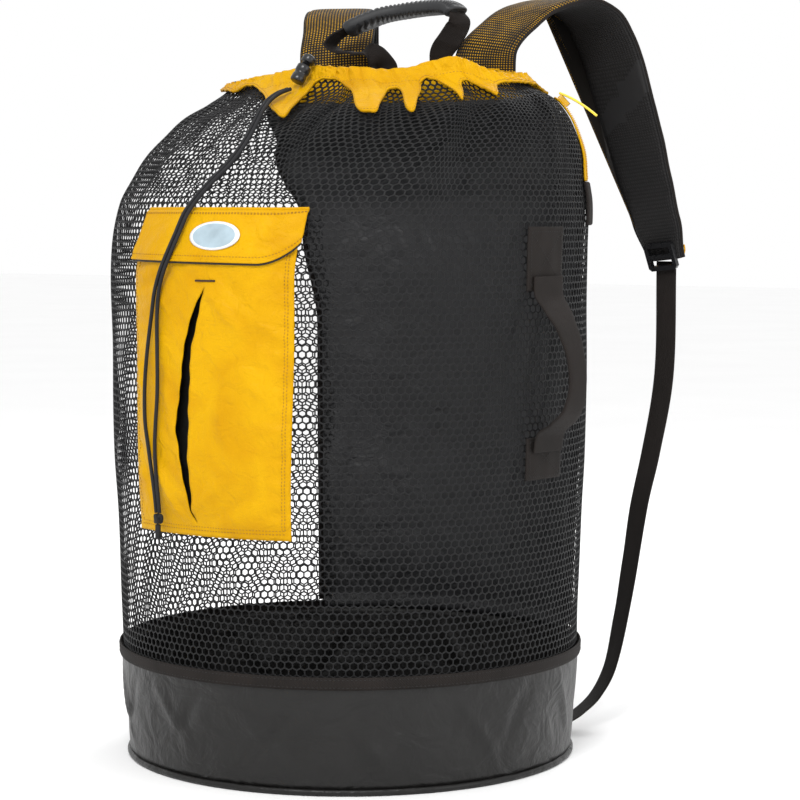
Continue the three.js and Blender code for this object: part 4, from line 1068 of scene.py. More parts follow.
@dataclass
class Net:
    """The knitted hexagon net round the bag's front and sides, in upright lengths."""

    foot: float = 104.4 * MM
    top: float = 667 * MM
    columns: int = 147
    rows: int = 98
    bar: float = 1.3 * MM
    wall: float = 0.8 * MM
    hole: float = 0.8
    hole_reach: float = 0.53
    seat: float = 0.2 * MM
    zip_turn: float = math.radians(113)
    zip_spread: float = 0.2
    pieces: int = 3

    def levels(self) -> tuple[Array, Array]:
        """Heights against the way up the bag's front, for even rows."""
        heights = np.linspace(self.foot, self.top, 600)
        line = BODY.face(np.zeros(600), heights)
        way = np.concatenate([[0], np.cumsum(np.linalg.norm(np.diff(line, axis=0), axis=1))])
        return heights, way / way[-1]

    def cells(self, first: int, count: int) -> bpy.types.Object:
        """A flat sheet of hexagon cells, one unit wide and one row high each.

        Args:
            first: the first column.
            count: how many columns.

        Returns:
            The sheet.
        """
        bm = bmesh.new()
        for shift, row in ((0.0, 0.0), (0.5, 1.0)):
            place = Matrix.Translation((first + shift, row * math.sqrt(3) / 2, 0))
            reach = 1 / math.sqrt(3)
            made = bmesh.ops.create_circle(bm, cap_ends=True, segments=6, radius=reach, matrix=place)
            face = made["verts"][0].link_faces[0]
            inset = (1 - self.hole) / 2
            bmesh.ops.inset_individual(bm, faces=[face], thickness=inset, use_even_offset=True)
            bmesh.ops.delete(bm, geom=[face], context="FACES_ONLY")
        bmesh.ops.scale(bm, vec=(1, 2 / math.sqrt(3), 1), verts=bm.verts)
        piece = to_object("net_cells", bm)
        for name, step, repeat in (("across", (1, 0, 0), count), ("up", (0, 2, 0), self.rows // 2)):
            array = piece.modifiers.new(name, "ARRAY")
            array.use_relative_offset = False
            array.use_constant_offset = True
            array.constant_offset_displace = step
            array.count = repeat
            array.use_merge_vertices = True
            array.use_merge_vertices_cap = False
            array.merge_threshold = 0.01
        return piece

    def place(self, flat: Array) -> Array:
        """Wraps the flat sheet's corners round the bag.

        Args:
            flat: the corners in cell widths and rows.

        Returns:
            Their places in metres.
        """
        x, y = flat[:, 0], flat[:, 1]
        row = np.rint(y)
        shift = 0.5 * (row % 2)
        middle = np.rint(x - shift) + shift
        dx, dy = x - middle, y - row
        is_hole = np.hypot(dx, dy * math.sqrt(3) / 2) < self.hole_reach
        height = self.height_at(row)
        left, right = self.edges(height)
        pitch = self.girth(height) * (right - left) / (2 * np.pi) / self.columns
        wanted = 1 - self.bar / pitch
        x = middle + dx * np.where(is_hole, np.clip(wanted, 0.35, 0.86) / self.hole, 1.0)
        y = row + dy * np.where(is_hole, np.clip(1.02 * wanted + 0.02, 0.5, 0.84) / self.hole, 1.0)
        height = self.height_at(y)
        turn = mix(*self.edges(height), np.clip(x / (self.columns - 0.5), -0.004, 1.004))
        return BODY.point(turn + self.drift(turn, height), height, -self.seat - self.slack(turn, height))

    def height_at(self, y: Array) -> Array:
        """The heights of places in rows."""
        heights, way = self.levels()
        return np.interp(np.clip((y + 0.7) / (self.rows + 0.4), 0, 1), way, heights)

    @staticmethod
    def edges(height: Array) -> tuple[Array, Array]:
        """The turns of the net's left and right edges at heights."""
        return panel_half_turn(Side.LEFT, height) - np.pi, np.pi - panel_half_turn(Side.RIGHT, height)

    @staticmethod
    def girth(height: Array) -> Array:
        """The body's girth at heights, by its ellipse's mean radius."""
        return math.pi * (BODY.size(BODY.half_width, height) + BODY.size(BODY.half_depth, height))

    def slack(self, turn: Array, height: Array) -> Array:
        """How far the net sinks in between its folds, which run down from the gathered mouth."""
        up = np.clip((height - 0.47) / 0.17, 0, 1) ** 1.5
        hem = np.clip((BODY.height - 0.03 - height) / 0.02, 0, 1)
        folds = 0.5 + 0.5 * np.cos(17 * turn + 2.2 * np.sin(2 * turn) + 1.2 * np.sin(5 * turn))
        fine = 0.5 + 0.5 * np.cos(41 * turn + 3 * np.sin(3 * turn))
        soft = 0.8 * MM * (1 + ripple(turn * BODY.radius, height, 5, (0.09, 0.13, 0.17, 0.11)))
        by_zip = np.clip(np.abs(turn - self.zip_turn) / self.zip_spread - 0.6, 0, 1)
        low = np.clip((0.6 - height) / 0.1, 0, 1)
        return up * hem * by_zip * (4.2 * MM * folds + 1.6 * MM * fine) + soft * low

    @staticmethod
    def drift(turn: Array, height: Array) -> Array:
        """How far the cells lean sideways where the mouth's gathers pull them."""
        up = np.clip((height - 0.42) / 0.22, 0, 1) ** 1.3
        return up * 0.045 * np.sin(9 * turn + 0.8) + up * 0.02 * np.sin(17 * turn)

    def build(self) -> None:
        """Makes the net's lengths."""
        cuts = [round(self.columns * k / self.pieces) for k in range(self.pieces + 1)]
        for k, (first, end) in enumerate(zip(cuts, cuts[1:])):
            flat = self.cells(first, end - first)
            mesh = flattened(flat)
            merged = bmesh.new()
            merged.from_mesh(mesh)
            bmesh.ops.remove_doubles(merged, verts=merged.verts, dist=0.02)
            merged.to_mesh(mesh)
            merged.free()
            move_corners(mesh, self.place)
            name = "net_" + ("left", "front", "right")[k]
            mesh.name = name
            piece = bpy.data.objects.new(name, mesh)
            bpy.context.scene.collection.objects.link(piece)
            wall = piece.modifiers.new("strand", "SOLIDIFY")
            wall.thickness = self.wall
            wall.offset = -1
            wall.use_even_offset = False
            settle(piece, NET, "net_body")


# Back panel


@dataclass
class BackPanel:
    """The solid cloth behind, which laps over the net's two edges."""

    foot: float = 105 * MM
    foot_lift: float = 0.6 * MM
    binding_top: float = 113 * MM
    step: float = 5 * MM
    tape_foot: float = 113.8 * MM
    top: float = 648 * MM
    lift: float = 0.8 * MM
    wall: float = 2 * MM
    lap: float = 8 * MM

    def turn(self, u: Array, height: Array) -> Array:
        """The turn at a share across, as seen from behind."""
        across = 2 * u - 1
        right = panel_half_turn(Side.RIGHT, height)
        left = panel_half_turn(Side.LEFT, height)
        half = np.where(across < 0, right, left)
        inner = np.minimum(np.abs(across) / 0.9, 1) * half
        lap = np.maximum(np.abs(across) - 0.9, 0) * 10 * BODY.turn_of(self.lap)
        return np.pi + np.sign(across) * (inner + lap)

    def face(self, u: Array, v: Array) -> Array:
        """The panel's outer face, with soft upright folds and a few cross wrinkles."""
        height = mix(self.foot, self.top, v)
        turn = self.turn(u, height)
        hem = np.clip(np.minimum(v, 1 - v) * 9, 0, 1) * np.clip((1 - np.abs(2 * u - 1)) * 9, 0, 1)
        arc = turn * BODY.radius
        soft = ripple(arc, height, 11, (0.07, 0.11, 0.16, 0.09)) * 1.5 * MM
        tight = np.maximum(ripple(arc * 2.2, height * 0.5, 12, (0.05, 0.06, 0.04)), 0) * 1.3 * MM
        slack = (1 + ripple(arc, height, 14, (0.19, 0.24, 0.15))) * 2.6 * MM
        over = np.clip((height - self.binding_top) / self.step, 0, 1)
        seat = mix(self.foot_lift, self.lift + self.wall, over)
        return BODY.point(turn, height, seat + hem * (soft + tight - slack))

    def build(self) -> None:
        """Makes the panel, its edge tapes and its stitches."""
        span = (0.36, self.top - self.foot)
        piece = cloth("back_cloth", (110, 130), span, self.face, self.wall)
        settle(piece, PANEL, "back_panel")
        rows = []
        v = np.linspace(0.01, 0.985, 300)
        for u in (0.018, 0.05, 0.95, 0.982):
            height = mix(self.foot, self.top, v)
            turn = self.turn(np.full(300, u), height)
            rows.append((self.face(np.full(300, u), v), BODY.normal(turn, height)))
        settle(stitches("back_stitches", rows, 3.6 * MM), THREAD)
        for side in Side:
            self.edge_tape(side)

    def edge_tape(self, side: Side) -> None:
        """The ribbed tape that binds the panel's edge to the net.

        Args:
            side: which edge.
        """
        width = 13 * MM
        out = BODY.turn_of(self.lap)

        def face(u: Array, v: Array) -> Array:
            """The outer face's points at shares across and up."""
            height = mix(self.tape_foot, self.top - 4 * MM, v)
            edge = panel_half_turn(side, height) + out
            if side is Side.RIGHT:
                turn = np.pi - edge + BODY.turn_of(width) * (u - 0.45)
            else:
                turn = np.pi + edge - BODY.turn_of(width) * (0.55 - u)
            crown = 0.8 * MM * np.sin(np.pi * u)
            cords = 0.35 * MM * np.sin(2 * np.pi * height / (4.5 * MM))
            return BODY.point(turn, height, self.lift + self.wall + 0.5 * MM + crown + cords)

        tape = cloth(f"back_edge_tape_{side.word}", (5, 280), (width, 0.53), face, 1.3 * MM)
        settle(tape, WEB)


# Mouth


@dataclass
class Collar:
    """The gathered mouth, with its scalloped hem and its rolled channel for the drawcord."""

    wall: float = 2.2 * MM
    lift: float = 1.3 * MM
    depth: float = 49 * MM
    rim: float = 680 * MM
    gathers: int = 18
    gather_depth: float = 3.2 * MM
    lean: float = math.radians(0.25)
    pleats: int = 30
    rim_turns: tuple[float, ...] = (
        -180, -120, -90, -60, -40, -15, -7, 15, 33, 45, 55, 62, 70, 80, 125, 150, 180,
    )  # fmt: skip
    rim_rises: tuple[float, ...] = (
        1, -6, -13, -18, -15, -9, -5, -7.5, -10, -2, 2, -2, -10, -14, -10, -2, 1,
    )  # fmt: skip
    hem_turns: tuple[float, ...] = (
        -117, -105, -90, -75, -60, -48, -40, -31, -22, -13, -8, -4.5, -3.2, -2.6, -1, 1, 5, 8.5, 10.8, 13.2,
        16.4, 19, 21.6, 22.4, 23.6, 26, 28, 28.8, 29.8, 31, 32.2, 33.2, 36.5, 40, 43, 44.6, 45.3, 46.4,
        48.6, 52, 56, 58, 59, 60, 62.5, 68, 76, 90, 106, 118,
    )  # fmt: skip
    hem_drops: tuple[float, ...] = (
        31.5, 27, 24, 25, 25, 26, 28, 23, 30, 43, 52, 57, 46, 36, 25, 20.5, 19.5, 21, 27, 37,
        52, 54, 52, 42, 33, 30.5, 32, 42, 51, 53, 49, 39, 27, 21, 20, 24, 31, 42, 33,
        26, 22.5, 27, 35, 37, 32, 26, 24, 24, 26, 31.5,
    )  # fmt: skip

    def rim_at(self, turn: Array) -> Array:
        """The rim's heights."""
        at = np.degrees(np.arctan2(np.sin(turn), np.cos(turn)))
        return self.rim + MM * smooth_at(self.rim_turns, self.rim_rises, at)

    def hem_at(self, turn: Array) -> Array:
        """The hem's heights, with its dips and arches."""
        at = np.degrees(np.arctan2(np.sin(turn), np.cos(turn)))
        return self.rim - MM * smooth_at(self.hem_turns, self.hem_drops, at)

    @staticmethod
    def turn_at(u: Array) -> Array:
        """The turns at shares round, with finer steps in front, where the hem is scalloped."""
        turn = 2 * np.pi * u
        return turn - 0.4 * np.sin(turn - 0.35)

    def leaned(self, turn: Array, height: Array) -> Array:
        """The turns at heights, because the cloth below the rim leans round the bag."""
        return turn + self.lean * np.maximum(self.rim - height - 20 * MM, 0) / MM

    def gather(self, turn: Array, up: Array) -> Array:
        """How far the gathers stand out at turns and shares up."""
        swell = 0.55 + 0.45 * np.sin(3 * turn + 0.6)
        big = 0.5 + 0.5 * np.cos(self.gathers * turn + 2 * np.sin(2 * turn))
        fine = np.cos(63 * turn + 4 * np.sin(5 * turn) + 1.5 * np.sin(9 * turn + 3 * up))
        tiny = np.cos(118 * turn + 5 * np.sin(7 * turn) + 4 * up)
        base = self.gather_depth * swell * (0.25 + 0.75 * up) * big
        crumple = ripple(turn * 0.16, up * 0.035, 61, (0.012, 0.019, 0.027, 0.015, 0.009))
        valley = np.sin(self.pleats * turn + 3 * np.sin(4 * turn) + 0.8 * up)
        pleat = np.exp(-((valley / 0.2) ** 2)) * np.clip(up * 6, 0, 1) * (0.5 + 0.5 * np.sin(7 * turn + 1))
        return base + (0.8 * fine + 0.3 * tiny + 1.5 * crumple - 2.2 * pleat) * MM * (0.4 + 0.6 * up)

    def face(self, u: Array, v: Array) -> Array:
        """The collar's outer face."""
        turn = self.turn_at(u)
        height = mix(self.hem_at(turn), self.rim_at(turn), v)
        below = (self.rim_at(turn) - height) / (15 * MM)
        seam = 0.5 * MM * np.exp(-(((below - 1.02) / 0.1) ** 2))
        channel = 1.2 * MM * np.sin(np.pi * np.clip(below, 0, 1)) - seam
        leaned = self.leaned(turn, height)
        return BODY.point(leaned, height, self.lift + self.wall + self.gather(turn, v) + channel)

    def build(self) -> None:
        """Makes the collar and the stitches along its channel and hem."""
        girth = 0.8
        piece = cloth("mouth_collar", (660, 20), (girth, self.depth), self.face, self.wall, ring=True)
        settle(piece, YELLOW, "collar")
        rows = []
        u = np.linspace(0, 1, 1400)
        turn = self.turn_at(u)
        hem, rim = self.hem_at(turn), self.rim_at(turn)
        for height in (hem + 1.6 * MM, np.maximum(rim - 15.5 * MM, hem + 1.6 * MM)):
            v = np.clip((height - hem) / (rim - hem), 0, 1)
            at = mix(hem, rim, v)
            rows.append((self.face(u, v), BODY.normal(self.leaned(turn, at), at)))
        settle(stitches("mouth_stitches", rows, 3.4 * MM, 0.4 * MM), GOLD_THREAD)


# Pocket


@dataclass
class Pocket:
    """The pouch on the front, its slit, its flap and the plain patch on it."""

    width: float = 180 * MM
    height: float = 296 * MM
    foot: float = 238 * MM
    depth: float = 12 * MM
    wall: float = 1.2 * MM
    edge: float = 3.6 * MM
    lift: float = 0.8 * MM
    slit_length: float = 222 * MM
    slit_width: float = 13 * MM
    flap_height: float = 50 * MM
    flap_side: float = 3 * MM
    flap_wall: float = 1.8 * MM
    crease_spread: float = 5 * MM
    edge_levels: tuple[float, ...] = (0, 0.8, 1)
    edge_left: tuple[float, ...] = (-1, -0.98, -0.8)
    edge_right: tuple[float, ...] = (1, 1.06, 1.11)
    slit_levels: tuple[float, ...] = (0, 0.12, 0.26, 0.48, 0.585, 0.66, 0.83, 0.93, 1)
    slit_across: tuple[float, ...] = (0.142, 0.03, -0.07, -0.124, -0.15, -0.15, -0.11, -0.085, -0.05)
    slit_open: tuple[float, ...] = (0, 0.6, 0.72, 0.92, 1.15, 0.95, 0.55, 0.28, 0)
    # Soft creases: from share across and up, to share across and up, and height in millimetres.
    creases: tuple[tuple[float, float, float, float, float], ...] = (
        (0.1, 0.36, 0.37, 0.07, 2.0),
        (0.04, 0.3, 0.2, 0.06, -1.5),
        (0.05, 0.6, 0.16, 0.3, 1.3),
        (0.08, 0.76, 0.34, 0.83, -1.9),
        (0.1, 0.7, 0.33, 0.74, 1.3),
        (0.55, 0.78, 0.74, 0.64, 1.7),
        (0.6, 0.84, 0.78, 0.71, -1.2),
        (0.8, 0.68, 0.96, 0.62, 1.4),
        (0.78, 0.48, 0.95, 0.4, 1.3),
        (0.74, 0.56, 0.93, 0.5, -1.0),
        (0.7, 0.2, 0.42, 0.06, 1.9),
        (0.82, 0.14, 0.5, 0.03, -1.2),
        (0.3, 0.5, 0.36, 0.3, 1.2),
        (0.62, 0.42, 0.68, 0.25, 1.0),
    )

    @property
    def half_turn(self) -> float:
        """The turn of half its width."""
        return BODY.turn_of(self.width / 2)

    def turn(self, u: Array, v: Array) -> Array:
        """The turn at shares across and up."""
        left = self.half_turn * wave_at(self.edge_levels, self.edge_left, v)
        right = self.half_turn * wave_at(self.edge_levels, self.edge_right, v)
        return mix(left, right, u)

    def front(self, u: Array, v: Array) -> Array:
        """The lift of the pouch's outer face."""
        across, up = 2 * u - 1, 2 * v - 1
        pillow = (1 - across**4) * (1 - up**6)
        slack = 1 + 0.12 * np.sin(5 * up + 2 * across) * across
        return self.lift + self.edge + (self.depth - self.edge) * pillow * slack

    def slit_at(self, v: Array) -> tuple[Array, Array]:
        """The slit's middle and half width, as shares across, at shares up the pouch.

        Args:
            v: shares up the pouch.

        Returns:
            The middle and the half width, nought outside the slit.
        """
        top = self.foot + self.height - self.flap_height - 14 * MM
        down = (top - (self.foot + v * self.height)) / self.slit_length
        inside = (down > 0) & (down < 1)
        at = np.clip(down, 0, 1)
        middle_turn = self.half_turn * smooth_at(self.slit_levels, self.slit_across, at)
        left = self.half_turn * wave_at(self.edge_levels, self.edge_left, v)
        right = self.half_turn * wave_at(self.edge_levels, self.edge_right, v)
        middle = (middle_turn - left) / (right - left)
        half = self.slit_width / 2 * np.maximum(smooth_at(self.slit_levels, self.slit_open, at), 0)
        return middle, np.where(inside, BODY.turn_of(half) / (right - left), 0)

    def wrinkles(self, u: Array, v: Array) -> Array:
        """Soft puckers that run out from the slit and the side seams."""
        x, y = u * self.width, v * self.height
        middle, _ = self.slit_at(v)
        near = np.exp(-(((u - middle) / 0.16) ** 2))
        pull = near * np.sin(2 * np.pi * (y - 0.9 * np.abs(u - middle) * self.width) / (21 * MM))
        side = np.exp(-((np.minimum(u, 1 - u) / 0.1) ** 2)) * np.sin(2 * np.pi * y / (17 * MM) + 9 * u)
        soft = ripple(x, y, 21, (0.05, 0.035, 0.06, 0.045))
        rim = np.clip(np.minimum(np.minimum(u, 1 - u) * 22, np.minimum(v, 1 - v) * 30), 0, 1)
        fold = np.zeros(np.broadcast(x, y).shape)
        here = np.stack(np.broadcast_arrays(x, y), axis=-1)
        for u0, v0, u1, v1, rise in self.creases:
            start = (u0 * self.width, v0 * self.height)
            end = (u1 * self.width, v1 * self.height)
            fold = fold + rise * ridge(here, start, end, self.crease_spread, 0.1)
        hem = -0.5 * np.exp(-(((u - 0.955) / 0.012) ** 2)) - 0.5 * np.exp(-(((v - 0.03) / 0.008) ** 2))
        return (rim * (0.5 * pull + 1.0 * side + 1.3 * soft + 1.8 * fold) + hem) * MM

    def pouch(self) -> None:
        """Makes the pouch's front with its open slit, and its back in black as painted shade inside the
        slit.
        """
        cells = (72, 110)
        bm = grid(*cells, (self.width, self.height))
        cut = []
        for edge in bm.edges:
            a, b = edge.verts
            if abs(a.co.x) < 1e-5 and abs(b.co.x) < 1e-5:
                mid_v = np.array([(a.co.y + b.co.y) / 2 + 0.5])
                if self.slit_at(mid_v)[1][0] > 0:
                    cut.append(edge)
        bmesh.ops.split_edges(bm, edges=cut)
        bm.verts.ensure_lookup_table()
        sides = np.zeros(len(bm.verts))
        for i, vert in enumerate(bm.verts):
            middle = sum(face.calc_center_median().x for face in vert.link_faces) / len(vert.link_faces)
            sides[i] = math.copysign(1, middle) if abs(vert.co.x) < 1e-5 else math.copysign(1, vert.co.x)

        def place(u: Array, v: Array) -> Array:
            """The points at shares across and up."""
            middle, half = self.slit_at(v)
            spread = np.abs(2 * u - 1)
            left_side = sides < 0
            inner = np.where(left_side, middle - half, middle + half)
            outer = np.where(left_side, 0.0, 1.0)
            across = mix(inner, outer, spread)
            lip = np.exp(-((np.abs(across - middle) - half) / 0.025)) * (half > 0)
            roll = 1.3 * MM * lip * np.clip(half / 0.02, 0, 1)
            lift = self.front(across, v) + self.wrinkles(across, v) + roll
            return BODY.point(self.turn(across, v), self.foot + v * self.height, lift)

        map_grid(bm, place)
        piece = to_object("pocket_pouch", bm)
        wall = piece.modifiers.new("wall", "SOLIDIFY")
        wall.thickness = self.wall
        wall.offset = -1
        settle(piece, YELLOW, "front_pocket")

        def back(u: Array, v: Array) -> Array:
            """The rear face's points at shares across and up."""
            share = mix(0.01, 0.99, v)
            inset = mix(0.01, 0.99, u)
            return BODY.point(self.turn(inset, share), self.foot + share * self.height, self.lift + 1 * MM)

        # The back is black so that the slit's inside reads dark: painted shade, where the real inside is
        # yellow cloth in shade.
        rear = cloth("pocket_back_painted_shade", (20, 24), (self.width, self.height), back, 0.8 * MM)
        settle(rear, COATED)
        self.seams()

    def seam(self, u: Array | float, v: Array | float, lift: float = 0.2 * MM) -> tuple[Array, Array]:
        """A line on the pouch's face.

        Args:
            u: its shares across.
            v: its shares up.
            lift: how far it stands off the face.

        Returns:
            Its path and the outward normals along it.
        """
        u, v = np.broadcast_arrays(np.asarray(u, float), np.asarray(v, float))
        turn, height = self.turn(u, v), self.foot + v * self.height
        face = self.front(u, v) + self.wrinkles(u, v)
        return BODY.point(turn, height, face + lift), BODY.normal(turn, height)

    def seams(self) -> None:
        """Makes the pouch's stitched edges and the tack above its slit."""
        up, across = np.linspace(0.03, 0.93, 260), np.linspace(0.03, 0.97, 200)
        rows = [self.seam(u, up) for u in (0.035, 0.955, 0.97)]
        rows += [self.seam(across, v) for v in (0.02, 0.031)]
        settle(stitches("pocket_stitches", rows, 3.2 * MM, 0.4 * MM), GOLD_THREAD)
        top = (self.height - self.flap_height - 10 * MM) / self.height
        middle, _ = self.slit_at(np.array([top - 0.014]))
        u = middle[0] + np.linspace(-0.055, 0.055, 20)
        path, _ = self.seam(u, top, 0.5 * MM)
        settle(tube("pocket_slit_tack", path, 0.9 * MM, 8), TACK)

    def flap_place(self, u: Array, v: Array) -> tuple[Array, Array, Array]:
        """The flap's turns, heights and lifts at shares across and up."""
        top = self.foot + self.height + self.edge + 2 * MM
        foot = top - self.flap_height
        corner = np.maximum(u - 0.8, 0) / 0.2
        height = mix(foot + 20 * MM * corner**2 + 3 * MM * (1 - u), top, v)
        share = np.minimum((height - self.foot) / self.height, 1)
        side = BODY.turn_of(self.flap_side)
        left = self.half_turn * wave_at(self.edge_levels, self.edge_left, share) - side
        right = self.half_turn * wave_at(self.edge_levels, self.edge_right, share) + side
        over = np.clip((top - height) / (self.edge + 4 * MM), 0, 1)
        on_pocket = self.front(np.clip(u, 0.04, 0.96), np.minimum(share, 0.985)) + self.lift
        lift = mix(self.lift, on_pocket, np.minimum(over * 1.6, 1)) + self.flap_wall
        hem = np.clip(v * 5, 0, 1)
        pucker = 0.5 * MM * ripple(u * self.width, height, 33, (0.03, 0.05, 0.022))
        pucker = pucker + 1.1 * MM * (1 - hem) ** 2
        sag = 1.6 * MM * np.exp(-(((v - 0.16) / 0.12) ** 2))
        pucker = pucker + 0.8 * MM * np.exp(-(((u - 0.42 - 0.24 * v) / 0.035) ** 2))
        pucker = pucker - 0.8 * MM * np.exp(-(((u - 0.72 - 0.16 * v) / 0.03) ** 2))
        pucker = pucker + 0.7 * MM * np.exp(-(((u - 0.12 - 0.2 * v) / 0.04) ** 2))
        return mix(left, right, u), height, lift + pucker * np.clip((1 - v) * 6, 0, 1) + sag * 0.6

    def flap(self) -> None:
        """Makes the flap, its hem roll and piping, a black tube under its foot as a painted shadow line,
        and its stitches.
        """

        def face(u: Array, v: Array) -> Array:
            """The outer face's points at shares across and up."""
            return BODY.point(*self.flap_place(u, v))

        piece = cloth("pocket_cover", (80, 28), (self.width, self.flap_height), face, self.flap_wall)
        settle(piece, YELLOW, "pocket_flap")
        u = np.linspace(0, 1, 120)
        turn, height, lift = self.flap_place(u, np.zeros(120))
        roll = BODY.point(turn, height + 0.6 * MM, lift - 0.7 * MM)
        settle(tube("pocket_cover_roll", roll, 1.25 * MM, 10), YELLOW)
        # A black tube tucked under the flap's foot: a painted shadow line, not a sewn binding.
        shadow = BODY.point(turn, height - 1.2 * MM, lift - 2.1 * MM)
        settle(tube("pocket_cover_shadow_line", shadow, 1.2 * MM, 10), THREAD)
        turn, height, lift = self.flap_place(u, np.full(120, 0.97))
        piping = BODY.point(turn, height, lift - 0.4 * MM)
        settle(tube("pocket_cover_piping", piping, 1.7 * MM, 10), YELLOW)
        rows = []
        for v in (0.1, 0.86, 0.88):
            turn, height, lift = self.flap_place(u, np.full(120, v))
            rows.append((BODY.point(turn, height, lift + 0.15 * MM), BODY.normal(turn, height)))
        settle(stitches("pocket_cover_stitches", rows, 3.2 * MM, 0.4 * MM), GOLD_THREAD)

    def patch(self) -> None:
        """Makes the plain oval patch."""
        bm = bmesh.new()
        bmesh.ops.create_circle(bm, cap_ends=True, segments=64, radius=1)
        for thickness in (0.1, 0.06, 0.1, 0.25, 0.3):
            cap = max(bm.faces, key=lambda f: len(f.verts))
            bmesh.ops.inset_individual(bm, faces=[cap], thickness=thickness)
        flat = np.array([v.co[:2] for v in bm.verts])
        for face in bm.faces:
            reach = face.calc_center_median().to_2d().length
            face.material_index = 1 if reach > 0.8 else 0
        radius = np.linalg.norm(flat, axis=1)
        turn = math.radians(5) + BODY.turn_of(51 * MM / 2) * flat[:, 0]
        top = self.foot + self.height + self.edge + 2 * MM
        height = top - 0.52 * self.flap_height + 12.5 * MM * flat[:, 1]
        u = (turn + self.half_turn) / (2 * self.half_turn)
        share = np.minimum((height - self.foot) / self.height, 0.985)
        rim = 0.5 * MM * np.exp(-(((radius - 0.88) / 0.05) ** 2)) - 0.5 * MM * (radius > 0.995)
        lift = self.front(u, share) + self.lift + self.flap_wall + self.lift + 1.3 * MM + rim
        for vert, point in zip(bm.verts, BODY.point(turn, height, lift)):
            vert.co = point
        piece = to_object("pocket_patch", bm)
        wall = piece.modifiers.new("wall", "SOLIDIFY")
        wall.thickness = 1.4 * MM
        wall.offset = -1
        dress(piece, PALE, PALE_RIM)
        settle(piece, PALE, "pocket_badge")

    def build(self) -> None:
        """Makes the pocket's pieces."""
        self.pouch()
        self.flap()
        self.patch()


# Side handle


@dataclass
class SideHandle:
    """The webbing grab handle on the bag's right, between two sewn anchors."""

    turn: float = math.radians(85.5)
    width: float = 56 * MM
    lift: float = 0.8 * MM
    wall: float = 2 * MM
    upper_top: float = 523 * MM
    upper_height: float = 60 * MM
    lower_top: float = 326 * MM
    lower_height: float = 40 * MM
    reach: float = 38 * MM
    handle_width: float = 46 * MM
    handle_wall: float = 3 * MM
    gap: float = 0.4 * MM
    drops: tuple[float, ...] = (-0.1, 0.03, 0.13, 0.28, 0.46, 0.64, 0.8, 0.9, 0.97, 1.1)
    lifts: tuple[float, ...] = (0, 0.02, 0.3, 0.68, 0.94, 1, 0.85, 0.5, 0.12, 0)
    widths: tuple[float, ...] = (1, 1, 0.92, 0.72, 0.6, 0.58, 0.68, 0.88, 1, 1)

    def anchor(self, name: str, node: str, top: float, height: float) -> None:
        """Makes one sewn anchor with its boxed stitching.

        Args:
            name: the piece's name.
            node: the CAD node that it stands for.
            top: its top edge's height.
            height: its height.
        """
        half = BODY.turn_of(self.width / 2)

        def spot(u: Array, v: Array) -> tuple[Array, Array]:
            """The turns and heights at shares across and up."""
            return self.turn + (2 * u - 1) * half, mix(top - height, top, v)

        def face(u: Array, v: Array) -> Array:
            """The outer face's points at shares across and up."""
            rim = np.minimum(np.minimum(u, 1 - u) * self.width, np.minimum(v, 1 - v) * height)
            roll = -0.8 * MM * np.exp(-rim / (1.2 * MM))
            soft = 0.35 * MM * ripple(u * self.width, v * height, 41, (0.02, 0.03))
            return BODY.point(*spot(u, v), self.lift + self.wall + roll + soft)

        piece = cloth(name, (28, 28), (self.width, height), face, self.wall * 0.8)
        settle(piece, WEB, node)
        a, b = 0.08, 0.92
        corners = ((a, a), (b, a), (b, b), (a, b))
        lines = list(zip(corners, corners[1:] + corners[:1]))
        lines += [(corners[0], corners[2]), (corners[1], corners[3])]
        rows = []
        for (u0, v0), (u1, v1) in lines:
            t = np.linspace(0, 1, 40)
            u, v = mix(u0, u1, t), mix(v0, v1, t)
            rows.append((face(u, v), BODY.normal(*spot(u, v))))
        settle(stitches(name + "_stitches", rows, 3 * MM), THREAD)

    def build(self) -> None:
        """Makes the anchors and the handle."""
        self.anchor("side_anchor_upper", "side_handle_anchor_upper", self.upper_top, self.upper_height)
        self.anchor("side_anchor_lower", "side_handle_anchor_lower", self.lower_top, self.lower_height)
        seat = self.lift + self.wall + self.gap + self.handle_wall / 2
        start = self.upper_top - self.upper_height
        drops = np.array(self.drops)
        heights = mix(start, self.lower_top, drops)
        lifts = seat + np.array(self.lifts) * (self.reach - seat)
        knots = BODY.point(np.full(len(drops), self.turn), heights, lifts)
        path = path_through(knots, 140)
        way = np.linspace(0, 1, 140)
        wide = np.tile([-math.cos(self.turn), -math.sin(self.turn), 0], (140, 1))
        half = self.handle_width / 2 * wave_at(np.linspace(0, 1, len(drops)), self.widths, way)
        fold = 1 + 0.5 * np.exp(-(((way - 0.5) / 0.22) ** 2))
        piece = sleeve("side_grab", path, wide, half, self.handle_wall / 2 * fold, 28, 0.3)
        settle(piece, WEB, "side_handle")


# Zip


